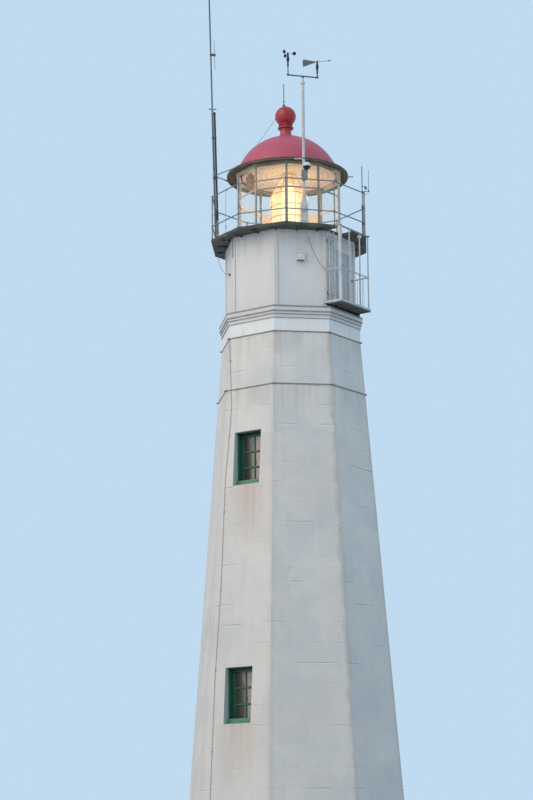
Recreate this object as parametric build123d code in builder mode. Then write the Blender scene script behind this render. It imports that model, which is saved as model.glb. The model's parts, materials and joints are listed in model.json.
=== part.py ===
"""Octagonal concrete lighthouse with a watch room, a gallery and a glazed lantern.

Units are millimetres. +Z is up, z = 0 is the ground and the tower's axis is the Z axis.
The front face looks along -Y. An azimuth is turned from the front towards +X, in degrees.
"""

import os
from math import atan, cos, degrees, radians, sin, sqrt, tan

from build123d import *

# Masonry shaft
wall_sides = 8
base_radius = 3320  # axis to corner, at the ground
shaft_top_radius = 2080  # axis to corner, under the frieze
shaft_height = 16170
wall_thickness = 450
floor_thickness = 150

# Iron hoops around the shaft
band_height = 32
band_thickness = 12
band_drop = 1550  # shaft top to the top of the lower hoop

# Frieze and cornice, each step wider than the one below
frieze_height = 380
lower_step_height = 105
middle_step_height = 75
upper_step_height = 170
cornice_projection = 78

# Watch room
watch_height = 2300
watch_radius = 1970
watch_wall = 200
panel_recess = 30
pilaster_width = 95
panel_head = 110

# Windows, one above the other on two opposite faces
window_width = 920
window_height = 1540
lower_sill_level = 5125
upper_sill_level = 11785
sill_to_floor = 900
window_setback = 185  # wall face to the front of the box, at mid height
lining_thickness = 35
lining_depth = 240
sash_setback = 175  # front of the box to the sash
sash_border = 60
sash_depth = 45
glazing_bar = 36
glazing_bar_depth = 30
sill_height = 130  # where it meets the sash
sill_nose_height = 60
sill_nose = 90  # in front of the box
glass_thickness = 6
window_azimuths = (-45, 135)

# Entrance door, on the side of the house
door_azimuth = 45
door_width = 950
door_height = 2100
door_setback = 180
door_frame_border = 80
door_frame_depth = 100
door_leaf_thickness = 50

# Door from the watch room to the balcony
balcony_azimuth = 45
balcony_door_width = 700
balcony_door_height = 1700
balcony_door_shift = 130  # along the face, away from the ladder
balcony_door_thickness = 45
balcony_door_setback = 60

# Gallery deck and its railing
deck_sides = 10
deck_radius = 2380  # axis to corner
deck_thickness = 80
deck_corner = -12  # azimuth of one corner
hatch_side = 1  # the deck's side that has the hatch, counted from that corner
hatch_width = 720
hatch_depth = 400
rail_setback = 30  # rim corner to post centre
rail_post_diameter = 40
rail_diameter = 34
top_rail_height = 1320
mid_rail_height = 410

# Lantern
lantern_radius = 1560  # axis to glazing corner
lantern_height = 2100
mullion_width = 50
curb_height = 150
curb_width = 120
transom_height = 1325
transom_width = 36
head_height = 60
pane_thickness = 10

# Lens and its pedestal
lens_radius = 560
lens_bottom = 420
lens_barrel = 1080
lens_cone_rise = 640
lens_cone_radius = 220  # where the cone ends
lens_crown_rise = 60
lens_crown_radius = 100
lens_wall = 40
pedestal_radius = 330
pedestal_foot_radius = 420
pedestal_foot_height = 60

# Roof: brim, dome, ball ventilator and lightning rod, each a little further off the axis
roof_shift = 40
ball_shift = 80
rod_shift = 125
brim_radius = 1800
brim_drop = 35  # the soffit falls this much towards the lip
brim_fascia = 70
brim_rise = 120
dome_radius = 1510
dome_rise = 1120
roof_sheet = 12
neck_foot_radius = 280
neck_radius = 175
neck_height = 300
collar_radius = 240
collar_thickness = 70
collar_gap = 40
upper_collar_radius = 215
upper_collar_thickness = 50
ball_radius = 312
ball_sheet = 6
rod_diameter = 24
rod_length = 730
rod_knob_radius = 40

# Balcony on its face of the watch room
balcony_width = 1510
balcony_shift = -135
balcony_reach = 2380  # axis to the outer rail
balcony_floor_thickness = 50
bearer_height = 100  # under the floor, on the cornice
bearer_width = 80
balcony_rail_height = 960
balcony_rail_size = 30
baluster_diameter = 14
front_baluster_spacing = 220
side_baluster_spacing = 150
corner_post_size = 80
thin_post_diameter = 30
first_thin_post = 470  # corner post to thin post, middle to middle
second_thin_post = 1000
hatch_bar_size = 36
ladder_width = 240
ladder_shift = -595
ladder_standoff = 90
ladder_rail = 30
rung_diameter = 18
rung_spacing = 300

# Instrument mast on the front of the deck
mast_azimuth = 2.3
mast_reach = 2110
mast_foot_width = 180
mast_foot_straight = 600  # the foot tapers above this
mast_foot_top_width = 80
mast_foot_height = 870
mast_neck_diameter = 50
mast_neck_height = 460
mast_box_width = 140
mast_box_height = 125
mast_cap_width = 100
mast_cap_height = 135
mast_pole_diameter = 85
mast_pole_length = 2720
mast_collar_diameter = 125
mast_collar_height = 50
mast_cone_height = 170
instrument_azimuth = -9.6  # the camera and the side arm are square to this direction
arm_azimuth = 6.7  # the cross-arm is square to this direction
vane_azimuth = -21.6  # the wind vane is square to this direction at rest
arm_length = 890
arm_diameter = 40
upright_diameter = 32
left_upright_height = 290
right_upright_height = 130
sensor_diameter = 88
sensor_neck_diameter = 50
sensor_neck_height = 100
sensor_flare = 80  # neck to the widest part
left_sensor_height = 340
right_sensor_height = 335
spindle_diameter = 16
spindle_height = 40
running_gap = 6

# Cup rotor
cup_count = 3
cup_radius = 55
cup_sheet = 3
cup_arm_length = 187
cup_arm_diameter = 10
cup_hub_diameter = 50
cup_hub_height = 40

# Wind vane
vane_tail_length = 430
vane_tail_height = 140
vane_plate_length = 400
vane_plate_thickness = 5
vane_spread = 16
vane_nose_length = 395
vane_rod_diameter = 14
vane_weight_diameter = 34
vane_weight_length = 70
vane_hub_diameter = 50
vane_hub_height = 40

# Watching camera on the instrument mast
camera_radius = 115
camera_shift = 80  # pole axis to ball centre, sideways
camera_forward = 90  # pole axis to ball centre, away from the tower
camera_height = 160  # box top to ball centre
side_arm_length = 270
side_arm_width = 60
side_arm_thickness = 20
side_arm_height = 380  # box top to the arm

# Antenna mast on the left of the deck
whip_azimuth = -91.6
whip_reach = 2190
whip_lean = 1.4  # degrees from upright, away from the tower
whip_pole_diameter = 60
whip_pole_length = 4100
whip_tip_diameter = 46
whip_length = 8700
black_tube_diameter = 58
black_tube_start = 700
black_tube_length = 3340
tube_gap = 8
clamp_height = 36
lower_clamp_level = 850
middle_clamp_level = 1980
upper_clamp_level = 3250
brace_diameter = 30
brace_level = 2080
brace_azimuths = (-64, -108)
stub_azimuth = 80
stub_length = 150
stub_spread = 150
stub_diameter = 16
dipole_level = 5900  # deck to the bracket, along the mast
dipole_offset = 115  # mast axis to the rod, towards the tower
dipole_length = 930
dipole_diameter = 14
dipole_bracket = 60

# Antenna at the right corner of the railing
corner_azimuth = 60
corner_reach = 2296
corner_pole_diameter = 50
corner_pole_height = 930
corner_tip_diameter = 26
corner_height = 2155
corner_arm_level = 1370
corner_arm_length = 200
corner_arm_diameter = 20
corner_whip_diameter = 14
corner_whip_length = 670

# Lamp box on the front of the watch room
lamp_width = 215
lamp_height = 250
lamp_depth = 130
lamp_level = 1380  # cornice top to the box's underside

# Lightning conductor down the front left face
conductor_diameter = 12
conductor_standoff = 10
conductor_azimuth = -45
conductor_bend = 400
conductor_low_shift = -805  # along the face, up to the first bend
conductor_low_end = 6400
conductor_mid_shift = -725
conductor_mid_start = 9000
conductor_mid_end = 12000
conductor_kink_shift = -600
conductor_kink_level = 14080
conductor_top_shift = -780
clip_start = 2170
clip_spacing = 2220
clip_width = 60
clip_height = 30
clip_thickness = 6

# Round lamp on the railing of the balcony
rail_lamp_radius = 65
rail_lamp_drop = 80  # hatch bar to the lamp's middle

# Worked out from the sizes above
half_turn = 180 / wall_sides
flat_factor = cos(radians(half_turn))
batter = (base_radius - shaft_top_radius) / shaft_height
batter_angle = degrees(atan(batter * flat_factor))
lower_band_top = shaft_height - band_drop
frieze_top = shaft_height + frieze_height
cornice_steps = (lower_step_height, middle_step_height, upper_step_height)
cornice_top = frieze_top + sum(cornice_steps)
deck_underside = cornice_top + watch_height
deck_top = deck_underside + deck_thickness
rail_radius = deck_radius - rail_setback
deck_half_turn = 180 / deck_sides
lantern_top = deck_top + lantern_height
dome_foot = lantern_top + brim_rise
dome_top = dome_foot + dome_rise
bore_flat = shaft_top_radius * flat_factor - wall_thickness
watch_flat = watch_radius * flat_factor
wall_names = (
    "front_wall",
    "front_right_wall",
    "right_wall",
    "back_right_wall",
    "back_wall",
    "back_left_wall",
    "left_wall",
    "front_left_wall",
)

os.makedirs("parts", exist_ok=True)


def outward(azimuth):
    """Level direction that points away from the axis."""
    return Vector(sin(radians(azimuth)), -cos(radians(azimuth)), 0)


def sideways(azimuth):
    """Level direction along a face, to the right as seen from outside."""
    return Vector(cos(radians(azimuth)), sin(radians(azimuth)), 0)


def place(azimuth, reach, level, along=0):
    """Point given by its azimuth, its distance from the axis, its height and its shift."""
    return outward(azimuth) * reach + sideways(azimuth) * along + Vector(0, 0, level)


def facing_plane(azimuth, reach=0, level=0, along=0):
    """Upright plane that looks outward, with its local y up."""
    return Plane(place(azimuth, reach, level, along), x_dir=sideways(azimuth), z_dir=outward(azimuth))


def section_plane(azimuth, along=0):
    """Upright plane through the axis, with its local x outward and its local y up."""
    return Plane(place(azimuth, 0, 0, along), x_dir=outward(azimuth), z_dir=sideways(azimuth) * -1)


def level_plane(azimuth, reach, level, along=0):
    """Level plane with its local x along the face and its local y inward."""
    return Plane(place(azimuth, reach, level, along), x_dir=sideways(azimuth), z_dir=(0, 0, 1))


def wall_radius(level):
    """Corner radius of the battered wall at a height."""
    return base_radius - batter * level


def wall_flat(level):
    """Distance from the axis to the middle of a wall face at a height."""
    return wall_radius(level) * flat_factor


def octagon(radius):
    """Octagon with a side square to -Y, drawn in the sketch that is open."""
    RegularPolygon(radius, wall_sides, rotation=half_turn)


def decagon(radius):
    """Decagon turned like the deck, drawn in the sketch that is open."""
    RegularPolygon(radius, deck_sides, rotation=deck_corner - 90)


def upright_plane(centre):
    """Upright plane through a point, with its local x to the right and its local y up."""
    return Plane(centre, x_dir=(1, 0, 0), z_dir=(0, -1, 0))


def mitre(azimuth, half_angle):
    """Cut the part that is open to the wedge between two corners."""
    split(bisect_by=Plane((0, 0, 0), z_dir=sideways(azimuth + half_angle)), keep=Keep.BOTTOM)
    split(bisect_by=Plane((0, 0, 0), z_dir=sideways(azimuth - half_angle)), keep=Keep.TOP)


def finish(piece, name):
    """Label a finished piece and write its file."""
    piece.label = name
    export_step(piece, f"parts/{name}.step")


# Shaft: eight battered walls, mitred at the corners
window_levels = (lower_sill_level, upper_sill_level)
for number, name in enumerate(wall_names):
    azimuth = number * 2 * half_turn
    with BuildPart() as wall:
        with BuildSketch(section_plane(azimuth)):
            with BuildLine():
                Polyline(
                    (wall_flat(0), 0),
                    (wall_flat(shaft_height), shaft_height),
                    (wall_flat(shaft_height) - wall_thickness, shaft_height),
                    (wall_flat(0) - wall_thickness, 0),
                    close=True,
                )
            make_face()
        extrude(amount=base_radius, both=True)
        mitre(azimuth, half_turn)
        if azimuth in [turn % 360 for turn in window_azimuths]:
            for sill in window_levels:
                with BuildSketch(facing_plane(azimuth, level=sill + window_height / 2)):
                    Rectangle(window_width, window_height)
                extrude(amount=base_radius, mode=Mode.SUBTRACT)
        if azimuth == door_azimuth:
            with BuildSketch(facing_plane(azimuth, level=floor_thickness + door_height / 2)):
                Rectangle(door_width, door_height)
            extrude(amount=base_radius, mode=Mode.SUBTRACT)
    finish(wall.part, name)


def floor_slab(top):
    """Octagonal slab that fills the shaft under a floor level."""
    bottom = top - floor_thickness
    with BuildPart() as slab:
        with BuildSketch(Plane.XY.offset(bottom)):
            octagon((wall_flat(bottom) - wall_thickness) / flat_factor)
        extrude(amount=floor_thickness, taper=batter_angle)
    return slab.part


finish(floor_slab(floor_thickness), "ground_floor")
finish(floor_slab(lower_sill_level - sill_to_floor), "lower_landing")
finish(floor_slab(upper_sill_level - sill_to_floor), "upper_landing")

# Iron hoops
with BuildPart() as bands:
    for top in (lower_band_top, shaft_height):
        bottom = top - band_height
        with BuildSketch(Plane.XY.offset(bottom)):
            octagon(wall_radius(bottom) + band_thickness / flat_factor)
        extrude(amount=band_height, taper=batter_angle)
    with BuildSketch():
        octagon(base_radius)
    extrude(amount=shaft_height, taper=batter_angle, mode=Mode.SUBTRACT)
finish(bands.part, "tie_bands")

# Frieze with the stepped cornice over it
with BuildPart() as cornice:
    with BuildSketch(Plane.XY.offset(shaft_height)):
        octagon(shaft_top_radius)
    extrude(amount=frieze_height)
    step_bottom = frieze_top
    for number, step_height in enumerate(cornice_steps, start=1):
        with BuildSketch(Plane.XY.offset(step_bottom)):
            octagon(shaft_top_radius + cornice_projection * number / len(cornice_steps))
        extrude(amount=step_height)
        step_bottom += step_height
    with BuildSketch(Plane.XY.offset(shaft_height)):
        octagon(bore_flat / flat_factor)
    extrude(amount=cornice_top - shaft_height, mode=Mode.SUBTRACT)
finish(cornice.part, "cornice")

# Watch room floor, inside the cornice
with BuildPart() as watch_floor:
    with BuildSketch(Plane.XY.offset(cornice_top - floor_thickness)):
        octagon(bore_flat / flat_factor)
    extrude(amount=floor_thickness)
finish(watch_floor.part, "watch_room_floor")

# Watch room: recessed panels between corner pilasters
panel_half = watch_flat * tan(radians(half_turn)) - pilaster_width
inner_flat = watch_flat - watch_wall
with BuildPart() as panels:
    for number in range(wall_sides):
        azimuth = number * 2 * half_turn
        with BuildSketch(section_plane(azimuth)):
            with BuildLine():
                Polyline(
                    (inner_flat, cornice_top),
                    (watch_flat - panel_recess, cornice_top),
                    (watch_flat - panel_recess, deck_underside - panel_head),
                    (watch_flat, deck_underside - panel_head),
                    (watch_flat, deck_underside),
                    (inner_flat, deck_underside),
                    close=True,
                )
            make_face()
        extrude(amount=panel_half, both=True)
    balcony_floor_top = cornice_top + bearer_height + balcony_floor_thickness
    door_middle = balcony_floor_top + balcony_door_height / 2
    with BuildSketch(facing_plane(balcony_azimuth, level=door_middle, along=balcony_door_shift)):
        Rectangle(balcony_door_width, balcony_door_height)
    extrude(amount=watch_radius, mode=Mode.SUBTRACT)
finish(panels.part, "watch_room_panels")

with BuildPart() as pilasters:
    with BuildSketch(Plane.XY.offset(cornice_top)):
        octagon(watch_radius)
    extrude(amount=watch_height)
    with BuildSketch(Plane.XY.offset(cornice_top)):
        octagon(inner_flat / flat_factor)
    extrude(amount=watch_height, mode=Mode.SUBTRACT)
    for number in range(wall_sides):
        with BuildSketch(facing_plane(number * 2 * half_turn, inner_flat, cornice_top + watch_height / 2)):
            Rectangle(2 * panel_half, watch_height)
        extrude(amount=watch_radius - inner_flat, mode=Mode.SUBTRACT)
finish(pilasters.part, "watch_room_pilasters")

# Door of the watch room
with BuildPart() as balcony_door:
    door_face = watch_flat - balcony_door_setback
    with BuildSketch(facing_plane(balcony_azimuth, door_face, door_middle, balcony_door_shift)):
        Rectangle(balcony_door_width, balcony_door_height)
    extrude(amount=-balcony_door_thickness)
finish(balcony_door.part, "watch_room_door")


def box_face(sill):
    """Distance from the axis to the front of a window's box."""
    return wall_flat(sill + window_height / 2) - window_setback


# Windows: a deep box with a sash far back in it, over a sloping sill board
inner_width = window_width - 2 * lining_thickness
inner_height = window_height - 2 * lining_thickness
clear_width = inner_width - 2 * sash_border
clear_height = inner_height - 2 * sash_border
with BuildPart() as sashes:
    for azimuth in window_azimuths:
        for sill in window_levels:
            middle = sill + window_height / 2
            front = box_face(sill)
            face = front - sash_setback
            back = front - lining_depth
            with BuildSketch(facing_plane(azimuth, front, middle)):
                Rectangle(window_width, window_height)
                Rectangle(inner_width, inner_height, mode=Mode.SUBTRACT)
            extrude(amount=-lining_depth)
            with BuildSketch(facing_plane(azimuth, face, middle)):
                Rectangle(inner_width, inner_height)
                Rectangle(clear_width, clear_height, mode=Mode.SUBTRACT)
            extrude(amount=-sash_depth)
            with BuildSketch(facing_plane(azimuth, face, middle)):
                Rectangle(glazing_bar, clear_height)
                with GridLocations(0, clear_height / 3, 1, 2):
                    Rectangle(clear_width, glazing_bar)
            extrude(amount=-glazing_bar_depth)
            with BuildSketch(section_plane(azimuth)):
                with BuildLine():
                    Polyline(
                        (back, sill),
                        (front + sill_nose, sill),
                        (front + sill_nose, sill + sill_nose_height),
                        (face, sill + sill_height),
                        (back, sill + sill_height),
                        close=True,
                    )
                make_face()
            extrude(amount=window_width / 2, both=True)
finish(sashes.part, "window_sashes")

with BuildPart() as window_glass:
    for azimuth in window_azimuths:
        for sill in window_levels:
            behind = box_face(sill) - sash_setback - glazing_bar_depth
            with BuildSketch(facing_plane(azimuth, behind, sill + window_height / 2)):
                Rectangle(clear_width, clear_height)
            extrude(amount=-glass_thickness)
    add(sashes.part, mode=Mode.SUBTRACT)
finish(window_glass.part, "window_glass")

# Entrance door
door_face = wall_flat(floor_thickness + door_height / 2) - door_setback
door_middle_level = floor_thickness + door_height / 2
with BuildPart() as door_frame:
    with BuildSketch(facing_plane(door_azimuth, door_face, door_middle_level)):
        Rectangle(door_width, door_height)
        with Locations((0, -door_frame_border / 2)):
            Rectangle(
                door_width - 2 * door_frame_border,
                door_height - door_frame_border,
                mode=Mode.SUBTRACT,
            )
    extrude(amount=-door_frame_depth)
finish(door_frame.part, "entrance_door_frame")

with BuildPart() as door_leaf:
    leaf_height = door_height - door_frame_border
    leaf_middle = floor_thickness + leaf_height / 2
    with BuildSketch(facing_plane(door_azimuth, door_face - door_leaf_thickness, leaf_middle)):
        Rectangle(door_width - 2 * door_frame_border, leaf_height)
    extrude(amount=-door_leaf_thickness)
finish(door_leaf.part, "entrance_door")

# Gallery deck with the hatch above the balcony
hatch_middle = deck_corner + (2 * hatch_side + 1) * deck_half_turn
deck_flat = deck_radius * cos(radians(deck_half_turn))
deck_side = 2 * deck_radius * sin(radians(deck_half_turn))
with BuildPart() as deck:
    with BuildSketch(Plane.XY.offset(deck_underside)):
        decagon(deck_radius)
    extrude(amount=deck_thickness)
    hatch_along = -deck_side / 2 + rail_post_diameter * 2 + hatch_width / 2
    with BuildSketch(level_plane(hatch_middle, deck_flat, deck_underside, hatch_along)):
        Rectangle(hatch_width, 2 * hatch_depth)
    extrude(amount=deck_thickness, mode=Mode.SUBTRACT)
finish(deck.part, "gallery_deck")

# Railing: a post at each corner, and two rows of rails cut to fit between them
with BuildPart() as rail_posts:
    for corner in range(deck_sides):
        azimuth = deck_corner + corner * 2 * deck_half_turn
        with BuildSketch(level_plane(azimuth, rail_radius, deck_top)):
            Circle(rail_post_diameter / 2)
        extrude(amount=top_rail_height + rail_diameter / 2)
finish(rail_posts.part, "gallery_posts")

post_core = Compound([solid for solid in rail_posts.part.solids()])
for rail_name, height in (("gallery_top_rails", top_rail_height), ("gallery_mid_rails", mid_rail_height)):
    with BuildPart() as rails:
        for side_number in range(deck_sides):
            azimuth = deck_corner + (2 * side_number + 1) * deck_half_turn
            reach = rail_radius * cos(radians(deck_half_turn))
            half_side = rail_radius * sin(radians(deck_half_turn))
            start = place(azimuth, reach, deck_top + height, -half_side)
            with BuildSketch(Plane(start, z_dir=sideways(azimuth))):
                Circle(rail_diameter / 2)
            extrude(amount=2 * half_side)
        add(post_core, mode=Mode.SUBTRACT)
    finish(rails.part, rail_name)

# Lantern: curb, head ring, mullions, transoms and panes
lantern_flat = lantern_radius * cos(radians(deck_half_turn))
pane_half = lantern_radius * sin(radians(deck_half_turn))
glazing_foot = deck_top + curb_height
glazing_height = lantern_height - curb_height - head_height
for ring_name, level, height in (
    ("lantern_curb", deck_top, curb_height),
    ("lantern_head", lantern_top - head_height, head_height),
):
    with BuildPart() as ring:
        with BuildSketch(Plane.XY.offset(level)):
            decagon(lantern_radius + curb_width / 2)
        extrude(amount=height)
        with BuildSketch(Plane.XY.offset(level)):
            decagon(lantern_radius - curb_width / 2)
        extrude(amount=height, mode=Mode.SUBTRACT)
    finish(ring.part, ring_name)

with BuildPart() as mullions:
    for corner in range(deck_sides):
        azimuth = deck_corner + corner * 2 * deck_half_turn
        with BuildSketch(level_plane(azimuth, lantern_radius, glazing_foot)):
            Rectangle(mullion_width, mullion_width)
        extrude(amount=glazing_height)
finish(mullions.part, "lantern_mullions")

with BuildPart() as transoms:
    for side_number in range(deck_sides):
        azimuth = deck_corner + (2 * side_number + 1) * deck_half_turn
        bottom = deck_top + transom_height - transom_width / 2
        with BuildSketch(level_plane(azimuth, lantern_flat, bottom)):
            Rectangle(2 * pane_half, transom_width)
        extrude(amount=transom_width)
    add(mullions.part, mode=Mode.SUBTRACT)
finish(transoms.part, "lantern_transoms")

with BuildPart() as panes:
    for side_number in range(deck_sides):
        azimuth = deck_corner + (2 * side_number + 1) * deck_half_turn
        with BuildSketch(level_plane(azimuth, lantern_flat, glazing_foot)):
            Rectangle(2 * pane_half, pane_thickness)
        extrude(amount=glazing_height)
    add(mullions.part, mode=Mode.SUBTRACT)
    add(transoms.part, mode=Mode.SUBTRACT)
finish(panes.part, "lantern_glass")

# Lens on its pedestal
with BuildPart() as pedestal:
    with BuildSketch(Plane.XY.offset(deck_top)):
        Circle(pedestal_foot_radius)
    extrude(amount=pedestal_foot_height)
    with BuildSketch(Plane.XY.offset(deck_top)):
        Circle(pedestal_radius)
    extrude(amount=lens_bottom)
finish(pedestal.part, "lens_pedestal")


def lens_outline(inset):
    """Half section of a barrel with a cone and a low crown, this far inside the lens."""
    radius = lens_radius - inset
    bottom = deck_top + lens_bottom + inset
    shoulder = deck_top + lens_bottom + lens_barrel
    cone_top = shoulder + lens_cone_rise - inset
    crown = cone_top + lens_crown_rise
    with BuildSketch(Plane.XZ) as outline:
        with BuildLine():
            Polyline(
                (0, bottom),
                (radius, bottom),
                (radius, shoulder),
                (lens_cone_radius - inset, cone_top),
                (lens_crown_radius, crown),
                (0, crown),
                close=True,
            )
        make_face()
    return outline.sketch


with BuildPart() as lens:
    revolve(lens_outline(0), axis=Axis.Z)
    revolve(lens_outline(lens_wall), axis=Axis.Z, mode=Mode.SUBTRACT)
finish(lens.part, "lens")

# Brim: a ring that seats on the lantern's head, with a soffit that falls to its lip
roof_side = sideways(instrument_azimuth) * -1
roof_centre = roof_side * roof_shift
brim_throat = (lantern_radius - curb_width / 2) * cos(radians(deck_half_turn))
lip_bottom = lantern_top - brim_drop
with BuildPart() as brim:
    with BuildSketch(upright_plane(roof_centre)):
        with BuildLine():
            Polyline(
                (brim_throat, lantern_top),
                (lantern_radius + curb_width, lantern_top),
                (brim_radius, lip_bottom),
                (brim_radius, lip_bottom + brim_fascia),
                (dome_radius, dome_foot),
                (brim_throat, dome_foot),
                close=True,
            )
        make_face()
    revolve(axis=Axis(roof_centre, (0, 0, 1)))
finish(brim.part, "roof_brim")

# Dome: part of a sphere
dome_sphere = (dome_radius**2 + dome_rise**2) / (2 * dome_rise)
dome_centre = dome_top - dome_sphere
dome_middle = roof_centre + Vector(0, 0, dome_centre)
with BuildPart() as dome:
    with Locations(dome_middle):
        Sphere(dome_sphere)
        Sphere(dome_sphere - roof_sheet, mode=Mode.SUBTRACT)
    split(bisect_by=Plane.XY.offset(dome_foot), keep=Keep.TOP)
finish(dome.part, "roof_dome")

# Neck, collar and ball of the ventilator
neck_seat = dome_centre + sqrt(dome_sphere**2 - neck_foot_radius**2)
neck_root = neck_seat - neck_height / 10  # inside the dome, and cut off along it
neck_top = neck_seat + neck_height
collar_top = neck_top + collar_thickness
upper_collar_bottom = collar_top + collar_gap
upper_collar_top = upper_collar_bottom + upper_collar_thickness
ball_seat_radius = upper_collar_radius - upper_collar_thickness / 2
ball_centre = upper_collar_top + sqrt(ball_radius**2 - ball_seat_radius**2)
ball_axis = roof_side * ball_shift
with BuildPart() as ventilator:
    with BuildSketch(upright_plane(ball_axis)):
        with BuildLine():
            Polyline(
                (0, ball_centre),
                (0, neck_root),
                (neck_foot_radius, neck_root),
                (neck_foot_radius, neck_seat),
            )
            ThreePointArc(
                (neck_foot_radius, neck_seat),
                (neck_radius + (neck_foot_radius - neck_radius) * 0.25, neck_seat + neck_height * 0.3),
                (neck_radius, neck_top),
            )
            Line((neck_radius, neck_top), (collar_radius - collar_thickness / 2, neck_top))
            ThreePointArc(
                (collar_radius - collar_thickness / 2, neck_top),
                (collar_radius, neck_top + collar_thickness / 2),
                (collar_radius - collar_thickness / 2, collar_top),
            )
            Polyline(
                (collar_radius - collar_thickness / 2, collar_top),
                (neck_radius, collar_top),
                (neck_radius, upper_collar_bottom),
                (ball_seat_radius, upper_collar_bottom),
            )
            ThreePointArc(
                (ball_seat_radius, upper_collar_bottom),
                (upper_collar_radius, upper_collar_bottom + upper_collar_thickness / 2),
                (ball_seat_radius, upper_collar_top),
            )
            Line((ball_seat_radius, upper_collar_top), (0, ball_centre))
        make_face()
    revolve(axis=Axis(ball_axis, (0, 0, 1)))
    with Locations(ball_axis + Vector(0, 0, ball_centre)):
        Sphere(ball_radius)
        Sphere(ball_radius - ball_sheet, mode=Mode.SUBTRACT)
    with Locations(dome_middle):
        Sphere(dome_sphere, mode=Mode.SUBTRACT)
finish(ventilator.part, "ball_ventilator")

rod_axis = roof_side * rod_shift
rod_foot = ball_centre + sqrt(ball_radius**2 - (rod_shift - ball_shift + rod_diameter) ** 2)
knob_level = ball_centre + ball_radius + rod_knob_radius
with BuildPart() as rod:
    with BuildSketch(Plane(rod_axis + Vector(0, 0, rod_foot))):
        Circle(rod_diameter / 2)
    extrude(amount=rod_length)
    with Locations(rod_axis + Vector(0, 0, knob_level)):
        Sphere(rod_knob_radius)
    with Locations(ball_axis + Vector(0, 0, ball_centre)):
        Sphere(ball_radius, mode=Mode.SUBTRACT)
finish(rod.part, "lightning_rod")

# Balcony: floor, guard rails, tall posts, ladder and the bar along the hatch
floor_wall_side = watch_flat
balcony_depth = balcony_reach + corner_post_size / 2 - floor_wall_side
cornice_edge = (shaft_top_radius + cornice_projection) * flat_factor
bearer_length = cornice_edge - floor_wall_side
post_start = balcony_shift - balcony_width / 2 + corner_post_size / 2
post_end = balcony_shift + balcony_width / 2 - corner_post_size / 2
with BuildPart() as balcony_floor:
    middle_reach = floor_wall_side + balcony_depth / 2
    floor_bottom = cornice_top + bearer_height
    with BuildSketch(level_plane(balcony_azimuth, middle_reach, floor_bottom, balcony_shift)):
        Rectangle(balcony_width, balcony_depth)
    extrude(amount=balcony_floor_thickness)
    bearer_middle = floor_wall_side + bearer_length / 2
    for shift in (-panel_half, panel_half):
        with BuildSketch(level_plane(balcony_azimuth, bearer_middle, cornice_top, shift)):
            Rectangle(bearer_width, bearer_length)
        extrude(amount=bearer_height)
finish(balcony_floor.part, "balcony_floor")

bar_level = deck_underside + deck_thickness / 2
post_shifts = (post_start, post_start + first_thin_post, post_start + second_thin_post, post_end)
with BuildPart() as balcony_posts:
    for number, shift in enumerate(post_shifts):
        size = corner_post_size if number == 0 else thin_post_diameter
        with BuildSketch(level_plane(balcony_azimuth, balcony_reach, balcony_floor_top, shift)):
            Rectangle(size, size)
        extrude(amount=bar_level - hatch_bar_size / 2 - balcony_floor_top)
finish(balcony_posts.part, "balcony_posts")

with BuildPart() as hatch_bar:
    bar_middle = (post_start + post_end) / 2
    bar_bottom = bar_level - hatch_bar_size / 2
    with BuildSketch(level_plane(balcony_azimuth, balcony_reach, bar_bottom, bar_middle)):
        Rectangle(post_end - post_start + corner_post_size, hatch_bar_size)
    extrude(amount=hatch_bar_size)
    for shift in (post_start, post_end):
        with BuildSketch(level_plane(balcony_azimuth, balcony_reach, bar_bottom, shift)):
            with Locations((0, (balcony_reach - deck_flat) / 2)):
                Rectangle(hatch_bar_size, balcony_reach - deck_flat + deck_radius - deck_flat)
        extrude(amount=hatch_bar_size)
    add(deck.part, mode=Mode.SUBTRACT)
finish(hatch_bar.part, "hatch_bar")

# Guard rails of the balcony: three panels that end at the posts
side_run = balcony_reach - corner_post_size / 2 - watch_flat


def guard_panel(middle, across, length, spacing):
    """Handrail on evenly spaced balusters, centred on a point of the balcony's floor."""
    count = round(length / spacing) - 1
    rail_bottom = middle + Vector(0, 0, balcony_rail_height - balcony_rail_size)
    with BuildPart() as panel:
        with BuildSketch(Plane(rail_bottom, x_dir=across)):
            Rectangle(length, balcony_rail_size)
        extrude(amount=balcony_rail_size)
        with BuildSketch(Plane(middle, x_dir=across)):
            with GridLocations(length / (count + 1), 0, count, 1):
                Circle(baluster_diameter / 2)
        extrude(amount=balcony_rail_height - balcony_rail_size / 2)
    return panel.part


inner_start = post_start + corner_post_size / 2
inner_end = post_end - thin_post_diameter / 2
front_middle = place(
    balcony_azimuth, balcony_reach, balcony_floor_top, (inner_start + inner_end) / 2
)
side_reach = watch_flat + side_run / 2
with BuildPart() as guard:
    front_run = inner_end - inner_start
    add(guard_panel(front_middle, sideways(balcony_azimuth), front_run, front_baluster_spacing))
    for shift in (post_start, post_end):
        side_middle = place(balcony_azimuth, side_reach, balcony_floor_top, shift)
        add(guard_panel(side_middle, outward(balcony_azimuth), side_run, side_baluster_spacing))
    add(balcony_posts.part, mode=Mode.SUBTRACT)
finish(guard.part, "balcony_guard")

# Round lamp on the third post
with BuildPart() as rail_lamp:
    lamp_middle = bar_bottom - rail_lamp_drop
    with Locations(place(balcony_azimuth, balcony_reach, lamp_middle, post_shifts[2])):
        Sphere(rail_lamp_radius)
    add(balcony_posts.part, mode=Mode.SUBTRACT)
finish(rail_lamp.part, "balcony_lamp")

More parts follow.
